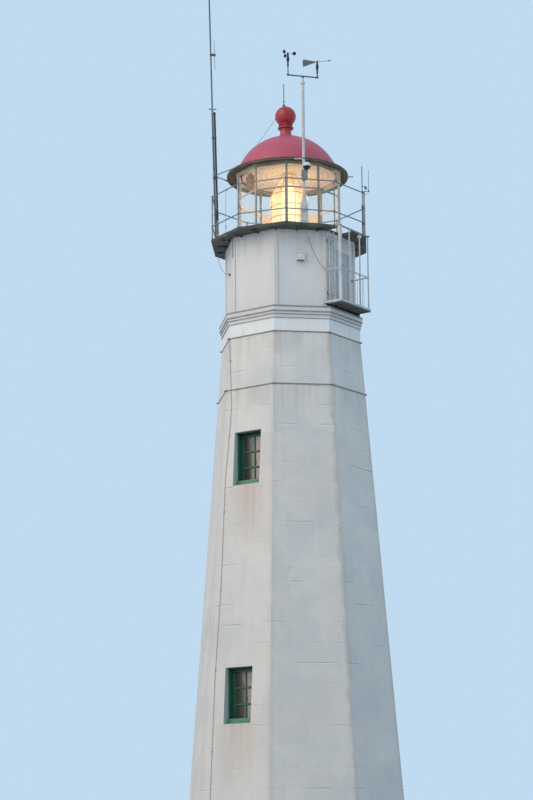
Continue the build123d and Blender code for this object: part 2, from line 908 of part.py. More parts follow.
# Ladder from the balcony to the hatch
ladder_reach = watch_flat + ladder_standoff
ladder_height = deck_underside - balcony_floor_top
rung_count = int(ladder_height / rung_spacing)
with BuildPart() as ladder:
    for side in (-1, 1):
        shift = ladder_shift + side * (ladder_width - ladder_rail) / 2
        with BuildSketch(level_plane(balcony_azimuth, ladder_reach, balcony_floor_top, shift)):
            Rectangle(ladder_rail, ladder_rail)
        extrude(amount=ladder_height)
        for level in (balcony_floor_top + rung_spacing, deck_underside - rung_spacing):
            with BuildSketch(facing_plane(balcony_azimuth, watch_flat - panel_recess, level, shift)):
                Rectangle(ladder_rail / 2, ladder_rail / 2)
            extrude(amount=ladder_standoff + panel_recess)
    for number in range(1, rung_count + 1):
        level = balcony_floor_top + number * ladder_height / (rung_count + 1)
        start = place(balcony_azimuth, ladder_reach, level, ladder_shift - ladder_width / 2)
        with BuildSketch(Plane(start, z_dir=sideways(balcony_azimuth))):
            Circle(rung_diameter / 2)
        extrude(amount=ladder_width)
    add(pilasters.part, mode=Mode.SUBTRACT)
finish(ladder.part, "balcony_ladder")

# Instrument mast: tapered foot, neck, junction box and pole
foot_top = deck_top + mast_foot_height
box_bottom = foot_top + mast_neck_height
box_top = box_bottom + mast_box_height + mast_cap_height
pole_top = box_top + mast_pole_length
arm_level = pole_top + mast_cone_height
mast_point = place(mast_azimuth, mast_reach, 0)
side_direction = sideways(instrument_azimuth)
with BuildPart() as mast:
    with BuildSketch(level_plane(mast_azimuth, mast_reach, deck_top)):
        Rectangle(mast_foot_width, mast_foot_width)
    extrude(amount=mast_foot_straight)
    with BuildSketch(level_plane(mast_azimuth, mast_reach, deck_top + mast_foot_straight)):
        Rectangle(mast_foot_width, mast_foot_width)
    with BuildSketch(level_plane(mast_azimuth, mast_reach, foot_top)):
        Rectangle(mast_foot_top_width, mast_foot_top_width)
    loft()
    with BuildSketch(level_plane(mast_azimuth, mast_reach, foot_top)):
        Circle(mast_neck_diameter / 2)
    extrude(amount=mast_neck_height)
    with BuildSketch(level_plane(mast_azimuth, mast_reach, box_bottom)):
        Circle(mast_box_width / 2)
    extrude(amount=mast_box_height)
    with BuildSketch(level_plane(mast_azimuth, mast_reach, box_bottom + mast_box_height)):
        Circle(mast_cap_width / 2)
    extrude(amount=mast_cap_height)
    with BuildSketch(level_plane(mast_azimuth, mast_reach, box_top)):
        Circle(mast_pole_diameter / 2)
    extrude(amount=mast_pole_length)
    with BuildSketch(level_plane(mast_azimuth, mast_reach, pole_top - mast_collar_height)):
        Circle(mast_collar_diameter / 2)
    extrude(amount=mast_collar_height)
    with BuildSketch(level_plane(mast_azimuth, mast_reach, pole_top)):
        Circle(mast_pole_diameter / 2)
    with BuildSketch(level_plane(mast_azimuth, mast_reach, arm_level)):
        Circle(arm_diameter / 2)
    loft()
    side_arm = mast_point + Vector(0, 0, box_top + side_arm_height)
    with BuildSketch(Plane(side_arm, x_dir=side_direction)):
        with Locations((-side_arm_length / 2, 0)):
            Rectangle(side_arm_length, side_arm_width)
    extrude(amount=side_arm_thickness)
finish(mast.part, "instrument_mast")

# Cross-arm with an upright at each end, and the two sensor bodies on them, each a neck that
# flares to a wide middle and tapers again to its top
arm_direction = sideways(arm_azimuth)
arm_middle = arm_level + arm_diameter / 2
left_point = mast_point - arm_direction * (arm_length / 2)
right_point = mast_point + arm_direction * (arm_length / 2)
left_sensor_foot = arm_middle + left_upright_height
right_sensor_foot = arm_middle + right_upright_height
left_sensor_top = left_sensor_foot + left_sensor_height
right_sensor_top = right_sensor_foot + right_sensor_height
with BuildPart() as cross_arm:
    arm_start = left_point - arm_direction * (arm_diameter / 2) + Vector(0, 0, arm_middle)
    with BuildSketch(Plane(arm_start, z_dir=arm_direction)):
        Circle(arm_diameter / 2)
    extrude(amount=arm_length + arm_diameter)
    for point, height in ((left_point, left_upright_height), (right_point, right_upright_height)):
        with BuildSketch(Plane(point + Vector(0, 0, arm_middle))):
            Circle(upright_diameter / 2)
        extrude(amount=height)
    add(mast.part, mode=Mode.SUBTRACT)
finish(cross_arm.part, "instrument_arm")

with BuildPart() as sensors:
    for point, bottom, height in (
        (left_point, left_sensor_foot, left_sensor_height),
        (right_point, right_sensor_foot, right_sensor_height),
    ):
        shoulder = bottom + sensor_neck_height + sensor_flare
        with BuildSketch(Plane(point + Vector(0, 0, bottom))):
            Circle(sensor_neck_diameter / 2)
        extrude(amount=sensor_neck_height)
        with BuildSketch(Plane(point + Vector(0, 0, bottom + sensor_neck_height))):
            Circle(sensor_neck_diameter / 2)
        with BuildSketch(Plane(point + Vector(0, 0, shoulder))):
            Circle(sensor_diameter / 2)
        loft()
        with BuildSketch(Plane(point + Vector(0, 0, shoulder))):
            Circle(sensor_diameter / 2)
        with BuildSketch(Plane(point + Vector(0, 0, bottom + height))):
            Circle(sensor_neck_diameter / 2)
        loft()
        with BuildSketch(Plane(point + Vector(0, 0, bottom + height))):
            Circle(spindle_diameter / 2)
        extrude(amount=spindle_height)
finish(sensors.part, "sensor_bodies")

# Cup rotor, turning on the left spindle
rotor_foot = left_sensor_top + running_gap
rotor_middle = rotor_foot + cup_hub_height / 2
with BuildPart() as rotor:
    with BuildSketch(Plane(left_point + Vector(0, 0, rotor_foot))):
        Circle(cup_hub_diameter / 2)
    extrude(amount=cup_hub_height)
    turns = [instrument_azimuth + 90 + number * 360 / cup_count for number in range(cup_count)]
    hub = left_point + Vector(0, 0, rotor_middle)
    for turn in turns:
        with BuildSketch(Plane(hub, z_dir=outward(turn))):
            Circle(cup_arm_diameter / 2)
        extrude(amount=cup_arm_length)
        with Locations(hub + outward(turn) * cup_arm_length):
            Sphere(cup_radius)
    for turn in turns:
        middle = hub + outward(turn) * cup_arm_length
        with Locations(middle):
            Sphere(cup_radius - cup_sheet, mode=Mode.SUBTRACT)
        with BuildSketch(Plane(middle, z_dir=sideways(turn))):
            Circle(cup_radius * 1.05)
        extrude(amount=cup_radius * 1.05, mode=Mode.SUBTRACT)
    with BuildSketch(Plane(left_point + Vector(0, 0, rotor_foot))):
        Circle(spindle_diameter / 2 + 0.3)
    extrude(amount=spindle_height - running_gap + 0.3, mode=Mode.SUBTRACT)
finish(rotor.part, "cup_rotor")

# Wind vane, turning on the right spindle
vane_foot = right_sensor_top + running_gap
vane_middle = vane_foot + vane_hub_height / 2
nose_direction = sideways(vane_azimuth)
tail_direction = nose_direction * -1
with BuildPart() as vane:
    with BuildSketch(Plane(right_point + Vector(0, 0, vane_foot))):
        Circle(vane_hub_diameter / 2)
    extrude(amount=vane_hub_height)
    centre = right_point + Vector(0, 0, vane_middle)
    with BuildSketch(Plane(centre, z_dir=tail_direction)):
        Circle(vane_rod_diameter / 2)
    extrude(amount=vane_tail_length)
    with BuildSketch(Plane(centre, z_dir=nose_direction)):
        Circle(vane_rod_diameter / 2)
    extrude(amount=vane_nose_length)
    nose = centre + nose_direction * (vane_nose_length - vane_weight_length)
    with BuildSketch(Plane(nose, z_dir=nose_direction)):
        Circle(vane_weight_diameter / 2)
    extrude(amount=vane_weight_length)
    for side in (-1, 1):
        leading = centre + tail_direction * (vane_tail_length - vane_plate_length)
        plate_plane = Plane(
            leading, x_dir=tail_direction, z_dir=tail_direction.cross(Vector(0, 0, 1)) * -1
        ).rotated((0, side * vane_spread / 2, 0))
        with BuildSketch(plate_plane):
            with BuildLine():
                Polyline(
                    (-vane_plate_thickness, vane_rod_diameter / 2),
                    (-vane_plate_thickness, -vane_rod_diameter / 2),
                    (vane_plate_length, -vane_tail_height / 2),
                    (vane_plate_length, vane_tail_height / 2),
                    close=True,
                )
            make_face()
        extrude(amount=vane_plate_thickness / 2, both=True)
    with BuildSketch(Plane(right_point + Vector(0, 0, vane_foot))):
        Circle(spindle_diameter / 2 + 0.3)
    extrude(amount=spindle_height - running_gap + 0.3, mode=Mode.SUBTRACT)
finish(vane.part, "wind_vane")

# Watching camera beside the pole
camera_offset = side_direction * camera_shift + outward(instrument_azimuth) * camera_forward
with BuildPart() as camera:
    with Locations(mast_point + camera_offset + Vector(0, 0, box_top + camera_height)):
        Sphere(camera_radius)
    add(mast.part, mode=Mode.SUBTRACT)
finish(camera.part, "dome_camera")

# Antenna mast: a leaning pole with a long whip, and a black tube clamped beside it
whip_point = place(whip_azimuth, whip_reach, deck_top)
lean = outward(whip_azimuth) * tan(radians(whip_lean)) + Vector(0, 0, 1)
whip_plane = Plane(whip_point, x_dir=sideways(whip_azimuth), z_dir=lean)
tube_offset = (whip_pole_diameter + black_tube_diameter) / 2 + tube_gap
with BuildPart() as whip:
    with BuildSketch(whip_plane.offset(-whip_pole_diameter)):
        Circle(whip_pole_diameter / 2)
    extrude(amount=whip_pole_diameter + whip_pole_length)
    with BuildSketch(whip_plane.offset(whip_pole_length)):
        Circle(whip_tip_diameter / 2)
    extrude(amount=whip_length - whip_pole_length)
    split(bisect_by=Plane.XY.offset(deck_top), keep=Keep.TOP)
finish(whip.part, "antenna_mast")

with BuildPart() as tube:
    with BuildSketch(whip_plane.offset(black_tube_start)):
        with Locations((0, tube_offset)):
            Circle(black_tube_diameter / 2)
    extrude(amount=black_tube_length)
finish(tube.part, "tube_antenna")

clamp_width = whip_pole_diameter + clamp_height / 2
with BuildPart() as clamps:
    for level in (lower_clamp_level, middle_clamp_level, upper_clamp_level):
        with BuildSketch(whip_plane.offset(level)):
            with Locations((0, tube_offset / 2)):
                SlotOverall(tube_offset + clamp_width, clamp_width, rotation=90)
        extrude(amount=clamp_height)
    add(whip.part, mode=Mode.SUBTRACT)
    add(tube.part, mode=Mode.SUBTRACT)
finish(clamps.part, "antenna_clamps")

# Dipole on its bracket, high on the whip
with BuildPart() as dipole:
    with BuildSketch(whip_plane.offset(dipole_level - dipole_length / 2)):
        with Locations((0, dipole_offset)):
            Circle(dipole_diameter / 2)
    extrude(amount=dipole_length)
    with BuildSketch(whip_plane.offset(dipole_level - dipole_bracket / 2)):
        with Locations((0, dipole_offset / 2)):
            Rectangle(dipole_bracket, dipole_offset + dipole_bracket)
    extrude(amount=dipole_bracket)
    add(whip.part, mode=Mode.SUBTRACT)
finish(dipole.part, "antenna_dipole")

# Braces from the antenna mast to the brim, and the stub of an old pair on the other side
brace_start = whip_point + lean * brace_level
brim_edge_level = lip_bottom + brim_fascia / 2
with BuildPart() as braces:
    for azimuth in brace_azimuths:
        end = roof_centre + place(azimuth, brim_radius, brim_edge_level)
        run = end - brace_start
        with BuildSketch(Plane(brace_start, z_dir=run)):
            Circle(brace_diameter / 2)
        extrude(amount=run.length)
    stub_tip = roof_centre + place(stub_azimuth, brim_radius + stub_length, brim_edge_level)
    for side in (-1, 1):
        stub_foot = brim_radius - stub_length / 2
        start = roof_centre + place(stub_azimuth, stub_foot, brim_edge_level, side * stub_spread / 2)
        run = stub_tip - start
        with BuildSketch(Plane(start, z_dir=run)):
            Circle(stub_diameter / 2)
        extrude(amount=run.length)
    with BuildSketch(Plane(roof_centre + Vector(0, 0, lip_bottom))):
        Circle(brim_radius)
    extrude(amount=brim_fascia, mode=Mode.SUBTRACT)
    add(whip.part, mode=Mode.SUBTRACT)
finish(braces.part, "brim_braces")

# Antenna at the railing's right corner, with a second whip on a short arm
corner_point = place(corner_azimuth, corner_reach, deck_top)
with BuildPart() as corner_antenna:
    with BuildSketch(Plane(corner_point)):
        Circle(corner_pole_diameter / 2)
    extrude(amount=corner_pole_height)
    with BuildSketch(Plane(corner_point + Vector(0, 0, corner_pole_height))):
        Circle(corner_tip_diameter / 2)
    extrude(amount=corner_height - corner_pole_height)
    with BuildSketch(Plane(corner_point + Vector(0, 0, corner_arm_level), z_dir=outward(corner_azimuth))):
        Circle(corner_arm_diameter / 2)
    extrude(amount=corner_arm_length)
    arm_end = corner_point + outward(corner_azimuth) * corner_arm_length
    with BuildSketch(Plane(arm_end + Vector(0, 0, corner_arm_level - corner_arm_diameter))):
        Circle(corner_whip_diameter / 2)
    extrude(amount=corner_whip_length)
finish(corner_antenna.part, "corner_antenna")

# Lamp box on the front of the watch room
with BuildPart() as lamp:
    with BuildSketch(facing_plane(0, watch_flat - panel_recess, cornice_top + lamp_level + lamp_height / 2)):
        Rectangle(lamp_width, lamp_height)
    extrude(amount=lamp_depth)
finish(lamp.part, "wall_lamp")

# Lightning conductor, held off the wall by clips
slope = sqrt(1 + (batter * flat_factor) ** 2)
uphill = Vector(0, 0, 1) - outward(conductor_azimuth) * (batter * flat_factor)
face_normal = sideways(conductor_azimuth).cross(uphill)
conductor_route = (
    (conductor_low_shift, 0),
    (conductor_low_shift, conductor_low_end),
    (conductor_mid_shift, conductor_mid_start),
    (conductor_mid_shift, conductor_mid_end),
    (conductor_kink_shift, conductor_kink_level),
    (conductor_top_shift, shaft_height - band_height - conductor_diameter),
)
off_wall = conductor_standoff + conductor_diameter / 2
conductor_plane = Plane(
    place(conductor_azimuth, wall_flat(0), 0),
    x_dir=sideways(conductor_azimuth),
    z_dir=face_normal,
)


def conductor_shift(level):
    """Place of the wire along the face at a height."""
    for (start, low), (end, high) in zip(conductor_route, conductor_route[1:]):
        if low <= level <= high:
            return start + (end - start) * (level - low) / (high - low)
    return conductor_top_shift


clip_count = int((shaft_height - clip_start) / clip_spacing) + 1
clip_lift = off_wall + conductor_diameter / 2 + clip_thickness
with BuildPart() as conductor:
    with BuildLine(conductor_plane.offset(off_wall)) as route:
        FilletPolyline(*[(along, level * slope) for along, level in conductor_route], radius=conductor_bend)
    with BuildSketch(Plane(route.line @ 0, z_dir=route.line % 0)):
        Circle(conductor_diameter / 2)
    sweep()
    for number in range(clip_count):
        level = clip_start + number * clip_spacing
        with BuildSketch(conductor_plane):
            with Locations((conductor_shift(level), level * slope)):
                Rectangle(clip_width, clip_height)
        extrude(amount=clip_thickness)
        with BuildSketch(conductor_plane):
            with Locations((conductor_shift(level), level * slope)):
                Rectangle(conductor_diameter + 2 * clip_thickness, clip_height)
        extrude(amount=clip_lift)
    add(bands.part, mode=Mode.SUBTRACT)
finish(conductor.part, "down_conductor")
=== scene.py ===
import json
import math
import random

import bmesh
import bpy
from mathutils import Matrix, Vector


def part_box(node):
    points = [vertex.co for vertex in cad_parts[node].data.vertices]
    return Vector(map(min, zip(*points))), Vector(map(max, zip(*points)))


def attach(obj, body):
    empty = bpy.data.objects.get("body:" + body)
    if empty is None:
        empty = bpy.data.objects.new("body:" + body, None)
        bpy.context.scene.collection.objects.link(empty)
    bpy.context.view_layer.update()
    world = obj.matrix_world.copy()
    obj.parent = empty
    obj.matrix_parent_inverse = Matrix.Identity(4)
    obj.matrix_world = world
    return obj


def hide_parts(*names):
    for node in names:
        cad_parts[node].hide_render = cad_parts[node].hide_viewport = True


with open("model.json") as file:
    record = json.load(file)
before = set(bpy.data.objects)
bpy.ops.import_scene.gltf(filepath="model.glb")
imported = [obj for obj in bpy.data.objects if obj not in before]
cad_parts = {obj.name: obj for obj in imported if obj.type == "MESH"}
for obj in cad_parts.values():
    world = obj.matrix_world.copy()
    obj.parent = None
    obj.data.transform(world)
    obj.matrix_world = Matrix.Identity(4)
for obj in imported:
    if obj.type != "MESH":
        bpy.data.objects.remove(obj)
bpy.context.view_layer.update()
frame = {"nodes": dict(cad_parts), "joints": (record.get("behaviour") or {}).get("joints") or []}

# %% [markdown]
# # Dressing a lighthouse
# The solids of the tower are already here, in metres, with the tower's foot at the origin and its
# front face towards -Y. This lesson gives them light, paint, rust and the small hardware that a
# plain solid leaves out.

dice = random.Random(7)
nodes = frame["nodes"]

# %% [markdown]
# ## Camera
# The picture was taken from low down, a long way off, with a narrow lens. A long lens keeps the
# tower's edges nearly parallel. The turn about Z points the camera at the tower, the tilt looks up,
# and the small last turn is the picture's own slant.

# %% Camera
STAND = (-9.834, -57.957, 1.583)  # metres from the tower's foot
HEADING, TILT, SLANT = -8.93, 12.476, -0.452  # degrees
camera = bpy.data.objects.new("camera", bpy.data.cameras.new("camera"))
bpy.context.scene.collection.objects.link(camera)
camera.data.lens = 92.95  # millimetres, for a picture 36 mm wide
camera.data.sensor_width = 36
camera.data.clip_end = 400
camera.matrix_world = (
    Matrix.Translation(STAND)
    @ Matrix.Rotation(math.radians(HEADING), 4, "Z")
    @ Matrix.Rotation(math.radians(90 + TILT), 4, "X")
    @ Matrix.Rotation(math.radians(SLANT), 4, "Z")
)
bpy.context.scene.camera = camera
print("camera stands", round(math.hypot(*STAND[:2]), 2), "m from the axis")

# %% [markdown]
# ## Colour
# Paint colours are written as the sRGB hex values that a picture editor shows. The renderer works in
# linear light, so one function turns them over.

# %% Colour
def colour(text):
    """Linear RGBA of an sRGB hex colour."""
    parts = [int(text[i:i + 2], 16) / 255 for i in (1, 3, 5)]
    return tuple(p / 12.92 if p <= 0.04045 else ((p + 0.055) / 1.055) ** 2.4 for p in parts) + (1.0,)


print("lead white", [round(part, 3) for part in colour("#D9D7D1")])

# %% [markdown]
# ## Floor and light
# An overcast evening has one soft bright side and no hard shadow. A pale world gives the even part,
# a wide warm lamp on the left gives the bright side, and a weak cool one keeps the right side alive.

# %% Floor and light
scene = bpy.context.scene
scene.view_settings.view_transform = "Standard"
world = bpy.data.worlds.new("pale room")
scene.world = world
world.use_nodes = True
world.node_tree.nodes["Background"].inputs["Color"].default_value = colour("#C0DAF0")
world.node_tree.nodes["Background"].inputs["Strength"].default_value = 1.0
for lamp_name, tint, power, spread, turn in (
    ("warm side", "#FFDFC0", 1.70, 60, (58, 0, -62)),
    ("front fill", "#F3F6FF", 0.10, 80, (70, 0, 10)),
):
    lamp = bpy.data.lights.new(lamp_name, "SUN")
    lamp.color = colour(tint)[:3]
    lamp.energy = power
    lamp.angle = math.radians(spread)
    holder = bpy.data.objects.new(lamp_name, lamp)
    holder.rotation_euler = [math.radians(part) for part in turn]
    scene.collection.objects.link(holder)

floor_mesh = bpy.data.meshes.new("floor")
floor_corners = [(90 * x, 90 * y, -0.002) for x, y in ((-1, -1), (1, -1), (1, 1), (-1, 1))]
floor_mesh.from_pydata(floor_corners, [], [(0, 1, 2, 3)])
floor = bpy.data.objects.new("floor", floor_mesh)
scene.collection.objects.link(floor)
print("lights", [light.name for light in bpy.data.lights])

# %% [markdown]
# ## How a finish is made
# Each finish starts from a Principled shader with typical numbers for its material. One small
# function adds every other node to the finish that lies on the desk. A Math node's kind is followed
# by what it does. A node is fed by socket name or in the order of its sockets, which for a Map Range
# node are value, from, from, to and to. A Mix node takes the share at socket 0 and its two colours
# at 6 and 7. Positions are read from the object's own coordinates, which are metres in the tower's
# frame, so a pattern's scale is one over its real size.

# %% How a finish is made
finishes = {}
desk = {}  # the node tree and the shader of the finish that is being made


def start(name, **sockets):
    """Begin a finish: its material lies on the desk, with the shader's plain numbers set."""
    made = finishes[name] = bpy.data.materials.new(name)
    made.use_nodes = True
    desk["tree"], desk["shader"] = made.node_tree, made.node_tree.nodes["Principled BSDF"]
    for socket, value in sockets.items():
        desk["shader"].inputs[socket.replace("_", " ")].default_value = value


def add(kind, out, feeds=(), **settings):
    """A node with its settings and links; gives back one output. Hex text is a colour."""
    kind, _, operation = kind.partition(" ")
    made = desk["tree"].nodes.new("ShaderNode" + kind)
    if operation:
        made.operation = operation
    if kind == "Mix":
        made.data_type = "RGBA"
    for name, value in settings.items():
        setattr(made, name, value)
    for socket, value in feeds.items() if isinstance(feeds, dict) else enumerate(feeds):
        if isinstance(value, bpy.types.NodeSocket):
            desk["tree"].links.new(value, made.inputs[socket])
        else:
            made.inputs[socket].default_value = colour(value) if isinstance(value, str) else value
    return made.outputs[out]


def feed(out, socket):
    """Link an output to a socket of the shader on the desk."""
    desk["tree"].links.new(out, desk["shader"].inputs[socket])


def wear(colour_out, height_out, depth, rough_out=None):
    """Feed the shader a finish's colour, its relief, whose depth is in metres, and its roughness."""
    feed(colour_out, "Base Color")
    if rough_out:
        feed(rough_out, "Roughness")
    feed(add("Bump", "Normal", {"Height": height_out, "Distance": depth, "Strength": 1.0}), "Normal")


start("pale_floor_paint", Roughness=0.85)
spot = add("TexCoord", "Object")
cloud = add("TexNoise", "Fac", {"Vector": spot, "Scale": 0.4, "Detail": 4.0})
tone = add("Mix", 2, {0: cloud, 6: "#CBCAC6", 7: "#D2D1CE"})
wear(tone, cloud, 0.002)
floor_mesh.materials.append(finishes["pale_floor_paint"])
print("finishes so far", list(finishes))

# %% [markdown]
# ## Places on an eight-sided wall
# Stains and cracks on this tower follow its faces: they run down from an edge or lie level across a
# face. The angle about the axis says which face a point is on, and from that come its place along
# the face and its distance from the nearest corner.

# %% Places on an eight-sided wall
def on_face():
    """Sockets for a wall point: along the face, distance from the corner, height and a face vector."""
    spot = add("TexCoord", "Object")
    x = add("SeparateXYZ", "X", {"Vector": spot})
    y = add("SeparateXYZ", "Y", {"Vector": spot})
    z = add("SeparateXYZ", "Z", {"Vector": spot})
    back = add("Math MULTIPLY", 0, [y, -1.0])
    turn = add("Math ARCTAN2", 0, [x, back])
    eighths = add("Math DIVIDE", 0, [turn, math.pi / 4])
    face = add("Math ROUND", 0, [eighths])
    rest = add("Math SUBTRACT", 0, [eighths, face])
    local = add("Math MULTIPLY", 0, [rest, math.pi / 4])
    squares = add("Math MULTIPLY", 0, [y, y])
    squares = add("Math MULTIPLY_ADD", 0, [x, x, squares])
    reach = add("Math SQRT", 0, [squares])
    sine = add("Math SINE", 0, [local])
    cosine = add("Math COSINE", 0, [local])
    along = add("Math MULTIPLY", 0, [reach, sine])
    flat = add("Math MULTIPLY", 0, [reach, cosine])
    half = add("Math MULTIPLY", 0, [flat, math.tan(math.pi / 8)])
    side = add("Math ABSOLUTE", 0, [along])
    corner = add("Math SUBTRACT", 0, [half, side])
    shelf = add("Math MULTIPLY", 0, [face, 9.7])
    place = add("CombineXYZ", "Vector", {"X": along, "Y": shelf, "Z": z})
    return {
        "along": along, "corner": corner, "height": z, "face": face,
        "place": place, "spot": spot, "flat": flat,
    }


print("a face repeats every", 360 / 8, "degrees")

# %% [markdown]
# ## Weathered lime-white paint on concrete
# The shaft is concrete cast in lifts between boards and painted white many times. What the eye gets
# is matt chalky white with faint patches where it was made good, level hairlines at the lifts, grey
# streaks that the rain draws down from hoops and sills, and brown dirt along the corners, most of it
# on the front. Strengths are shares of a full coat, from 0 to 1.

# %% Weathered lime-white paint on concrete
LIFT = 0.56  # one day's pour, metres
SILLS = (5.125, 11.785)
FOOT, HEAD = 3.32, 2.08  # axis to corner, at the ground and under the frieze
BATTER = (FOOT - HEAD) / 16.17  # what that loses a metre
EIGHTH = math.cos(math.pi / 8)  # axis to the middle of a side, as a share of axis to corner
HOOPS = (16.15, 14.6)


def weathered_wall(name, clean, cool, warm, hoops, sills, cracks, streaks):
    """Painted concrete with level lift lines, patches, streaks and dirty corners."""
    start(name, Roughness=0.82, Specular_IOR_Level=0.3)
    wall = on_face()
    place, height, corner = wall["place"], wall["height"], wall["corner"]
    broad = add("TexNoise", "Fac", {"Vector": place, "Scale": 0.8, "Detail": 5.0, "Roughness": 0.6})
    tone = add("MapRange", 0, [broad, 0.35, 0.65])
    paint = add("Mix", 2, {0: tone, 6: clean, 7: cool})

    # Repairs are squarish patches, 0.5 to 1.2 m wide, a shade warmer, cooler or paler than the rest
    for size, tint, low, strength in (
        (1.0, "#E2E0DA", 0.55, 0.24), (1.7, "#BFC4C6", 0.60, 0.20), (0.8, "#CDC1B6", 0.62, 0.22),
    ):
        shift, scale = (size, 0, size), (size, 1.0, size * 1.35)
        squeeze = add("Mapping", 0, {"Vector": place, "Location": shift, "Scale": scale})
        sway = add("TexNoise", "Color", {"Vector": place, "Scale": 2.5, "Detail": 2.0})
        squeeze = add("VectorMath MULTIPLY_ADD", 0, [sway, (0.22, 0.0, 0.22), squeeze])
        feeds = {"Vector": squeeze, "Scale": 1.0, "Randomness": 0.85}
        patch = add("TexVoronoi", "Color", feeds, distance="CHEBYCHEV")
        shade = add("SeparateColor", "Red", {"Color": patch})
        shade = add("MapRange", 0, [shade, low, 0.98, 0.0, strength * cracks])
        paint = add("Mix", 2, {0: shade, 6: paint, 7: tint})

    # Streaks: noise drawn out twenty times taller than wide
    pull = add("Mapping", 0, {"Vector": place, "Scale": (7.0, 1.0, 0.30)})
    streak = add("TexNoise", "Fac", {"Vector": pull, "Scale": 1.0, "Detail": 6.0, "Roughness": 0.62})
    line = add("MapRange", 0, [streak, 0.52, 0.78, 0.0, streaks])
    paint = add("Mix", 2, {0: line, 6: paint, 7: warm})
    pale = add("MapRange", 0, [streak, 0.46, 0.28, 0.0, streaks])
    paint = add("Mix", 2, {0: pale, 6: paint, 7: "#E4E3DE"})

    # Rain dirt below each hoop and sill, longest where the streak noise is strong
    runs = [(level, 0.9, 0.30) for level in hoops] + [(level, 1.9, 0.70) for level in sills]
    for top, length, strength in runs:
        below = add("Math SUBTRACT", 0, [top, height])
        fade = add("MapRange", 0, [below, length, 0.02, 0.0, strength])
        under = add("Math GREATER_THAN", 0, [below, 0.0])
        fade = add("Math MULTIPLY", 0, [fade, under])
        if top in sills:
            width = add("Math ABSOLUTE", 0, [wall["along"]])
            inside = add("MapRange", 0, [width, 0.75, 0.30])
            window_face = add("Math FLOORED_MODULO", 0, [wall["face"], 4.0])
            window_face = add("Math COMPARE", 0, [window_face, 3.0, 0.1])
            inside = add("Math MULTIPLY", 0, [inside, window_face])
            fade = add("Math MULTIPLY", 0, [fade, inside])
        dirt_and_shade = add("MapRange", 0, [streak, 0.35, 0.66, 0.35 if top in sills else 0.0])
        dirt_and_shade = add("Math MULTIPLY", 0, [dirt_and_shade, fade])
        stain = "#BBA48F" if top in sills else "#9A9082"
        paint = add("Mix", 2, {0: dirt_and_shade, 6: paint, 7: stain})

    # Lift lines: a hairline every pour that comes and goes along the face, with a painted highlight as a
    # pale line just below it
    wobble = add("TexNoise", "Fac", {"Vector": place, "Scale": 1.7, "Detail": 3.0})
    drift = add("MapRange", 0, [wobble, 0.0, 1.0, -0.05, 0.05])
    level = add("Math ADD", 0, [height, drift])
    pours = add("Math DIVIDE", 0, [level, LIFT])
    nearest = add("Math ROUND", 0, [pours])
    off = add("Math SUBTRACT", 0, [pours, nearest])
    off = add("Math ABSOLUTE", 0, [off])
    hair = add("MapRange", 0, [off, 0.030, 0.012])
    row = add("CombineXYZ", 0, {"X": wall["along"], "Y": nearest, "Z": wall["face"]})
    seen = add("TexNoise", "Fac", {"Vector": row, "Scale": 1.3, "Detail": 2.0})
    seen = add("MapRange", 0, [seen, 0.50, 0.70, 0.0, 0.50 * cracks])
    crack = add("Math MULTIPLY", 0, [hair, seen])
    # Painted highlight: a pale line just below each hairline, where the lift's edge catches the light
    below = add("Math SUBTRACT", 0, [pours, nearest])
    below = add("Math COMPARE", 0, [below, -0.045, 0.018])
    below = add("Math MULTIPLY", 0, [below, seen])
    paint = add("Mix", 2, {0: below, 6: paint, 7: "#EFEEEA"})
    paint = add("Mix", 2, {0: crack, 6: paint, 7: "#7F7B73"})

    # Corners: a wandering crack about 0.1 m in and brown dirt up to it, strongest on the front
    sway = add("TexNoise", "Fac", {"Vector": place, "Scale": 2.3, "Detail": 4.0})
    sway = add("MapRange", 0, [sway, 0.0, 1.0, -0.12, 0.12])
    rim = add("Math ADD", 0, [corner, sway])
    grime = add("MapRange", 0, [rim, 0.16, 0.0, 0.0, 0.16])
    paint = add("Mix", 2, {0: grime, 6: paint, 7: "#A79A8B"})
    lee = add("Math GREATER_THAN", 0, [wall["along"], 0.0])
    brown = add("TexNoise", "Fac", {"Vector": place, "Scale": 5.0, "Detail": 6.0, "Roughness": 0.7})
    brown = add("Math MULTIPLY_ADD", 0, [brown, 0.25, rim])
    brown = add("MapRange", 0, [brown, 0.24, 0.10, 0.0, 0.42 * cracks])
    seaward = add("Math FLOORED_MODULO", 0, [wall["face"], 4.0])
    seaward = add("Math COMPARE", 0, [seaward, 0.0, 0.1])
    seaward = add("MapRange", 0, [seaward, 0.0, 1.0, 0.25])
    brown = add("Math MULTIPLY", 0, [brown, seaward])
    brown = add("Math MULTIPLY", 0, [brown, lee])
    paint = add("Mix", 2, {0: brown, 6: paint, 7: "#96816C"})
    split = add("Math COMPARE", 0, [rim, 0.09, 0.006])
    some = add("TexNoise", "Fac", {"Vector": wall["spot"], "Scale": 0.7, "Detail": 2.0})
    some = add("MapRange", 0, [some, 0.56, 0.70, 0.0, 0.32 * cracks])
    split = add("Math MULTIPLY", 0, [split, some])
    paint = add("Mix", 2, {0: split, 6: paint, 7: "#6B655C"})

    # Chips down to grey concrete, 10 to 40 mm across
    chip = add("TexNoise", "Fac", {"Vector": wall["spot"], "Scale": 9.0, "Detail": 7.0, "Roughness": 0.7})
    chip = add("MapRange", 0, [chip, 0.68, 0.72, 0.0, 0.7])
    paint = add("Mix", 2, {0: chip, 6: paint, 7: "#8E8A82"})

    # Window and door reveals get a grey-green: painted shade, tinted by green light bounced from the frames
    shaded_reveal = add("Math MULTIPLY_ADD", 0, [height, BATTER * EIGHTH, wall["flat"]])
    shaded_reveal = add("Math SUBTRACT", 0, [FOOT * EIGHTH, shaded_reveal])
    shaded_reveal = add("Math COMPARE", 0, [shaded_reveal, 0.105, 0.092])
    shaded_reveal = add("Math MULTIPLY", 0, [shaded_reveal, 0.75 * cracks])
    paint = add("Mix", 2, {0: shaded_reveal, 6: paint, 7: "#B4C6BE"})

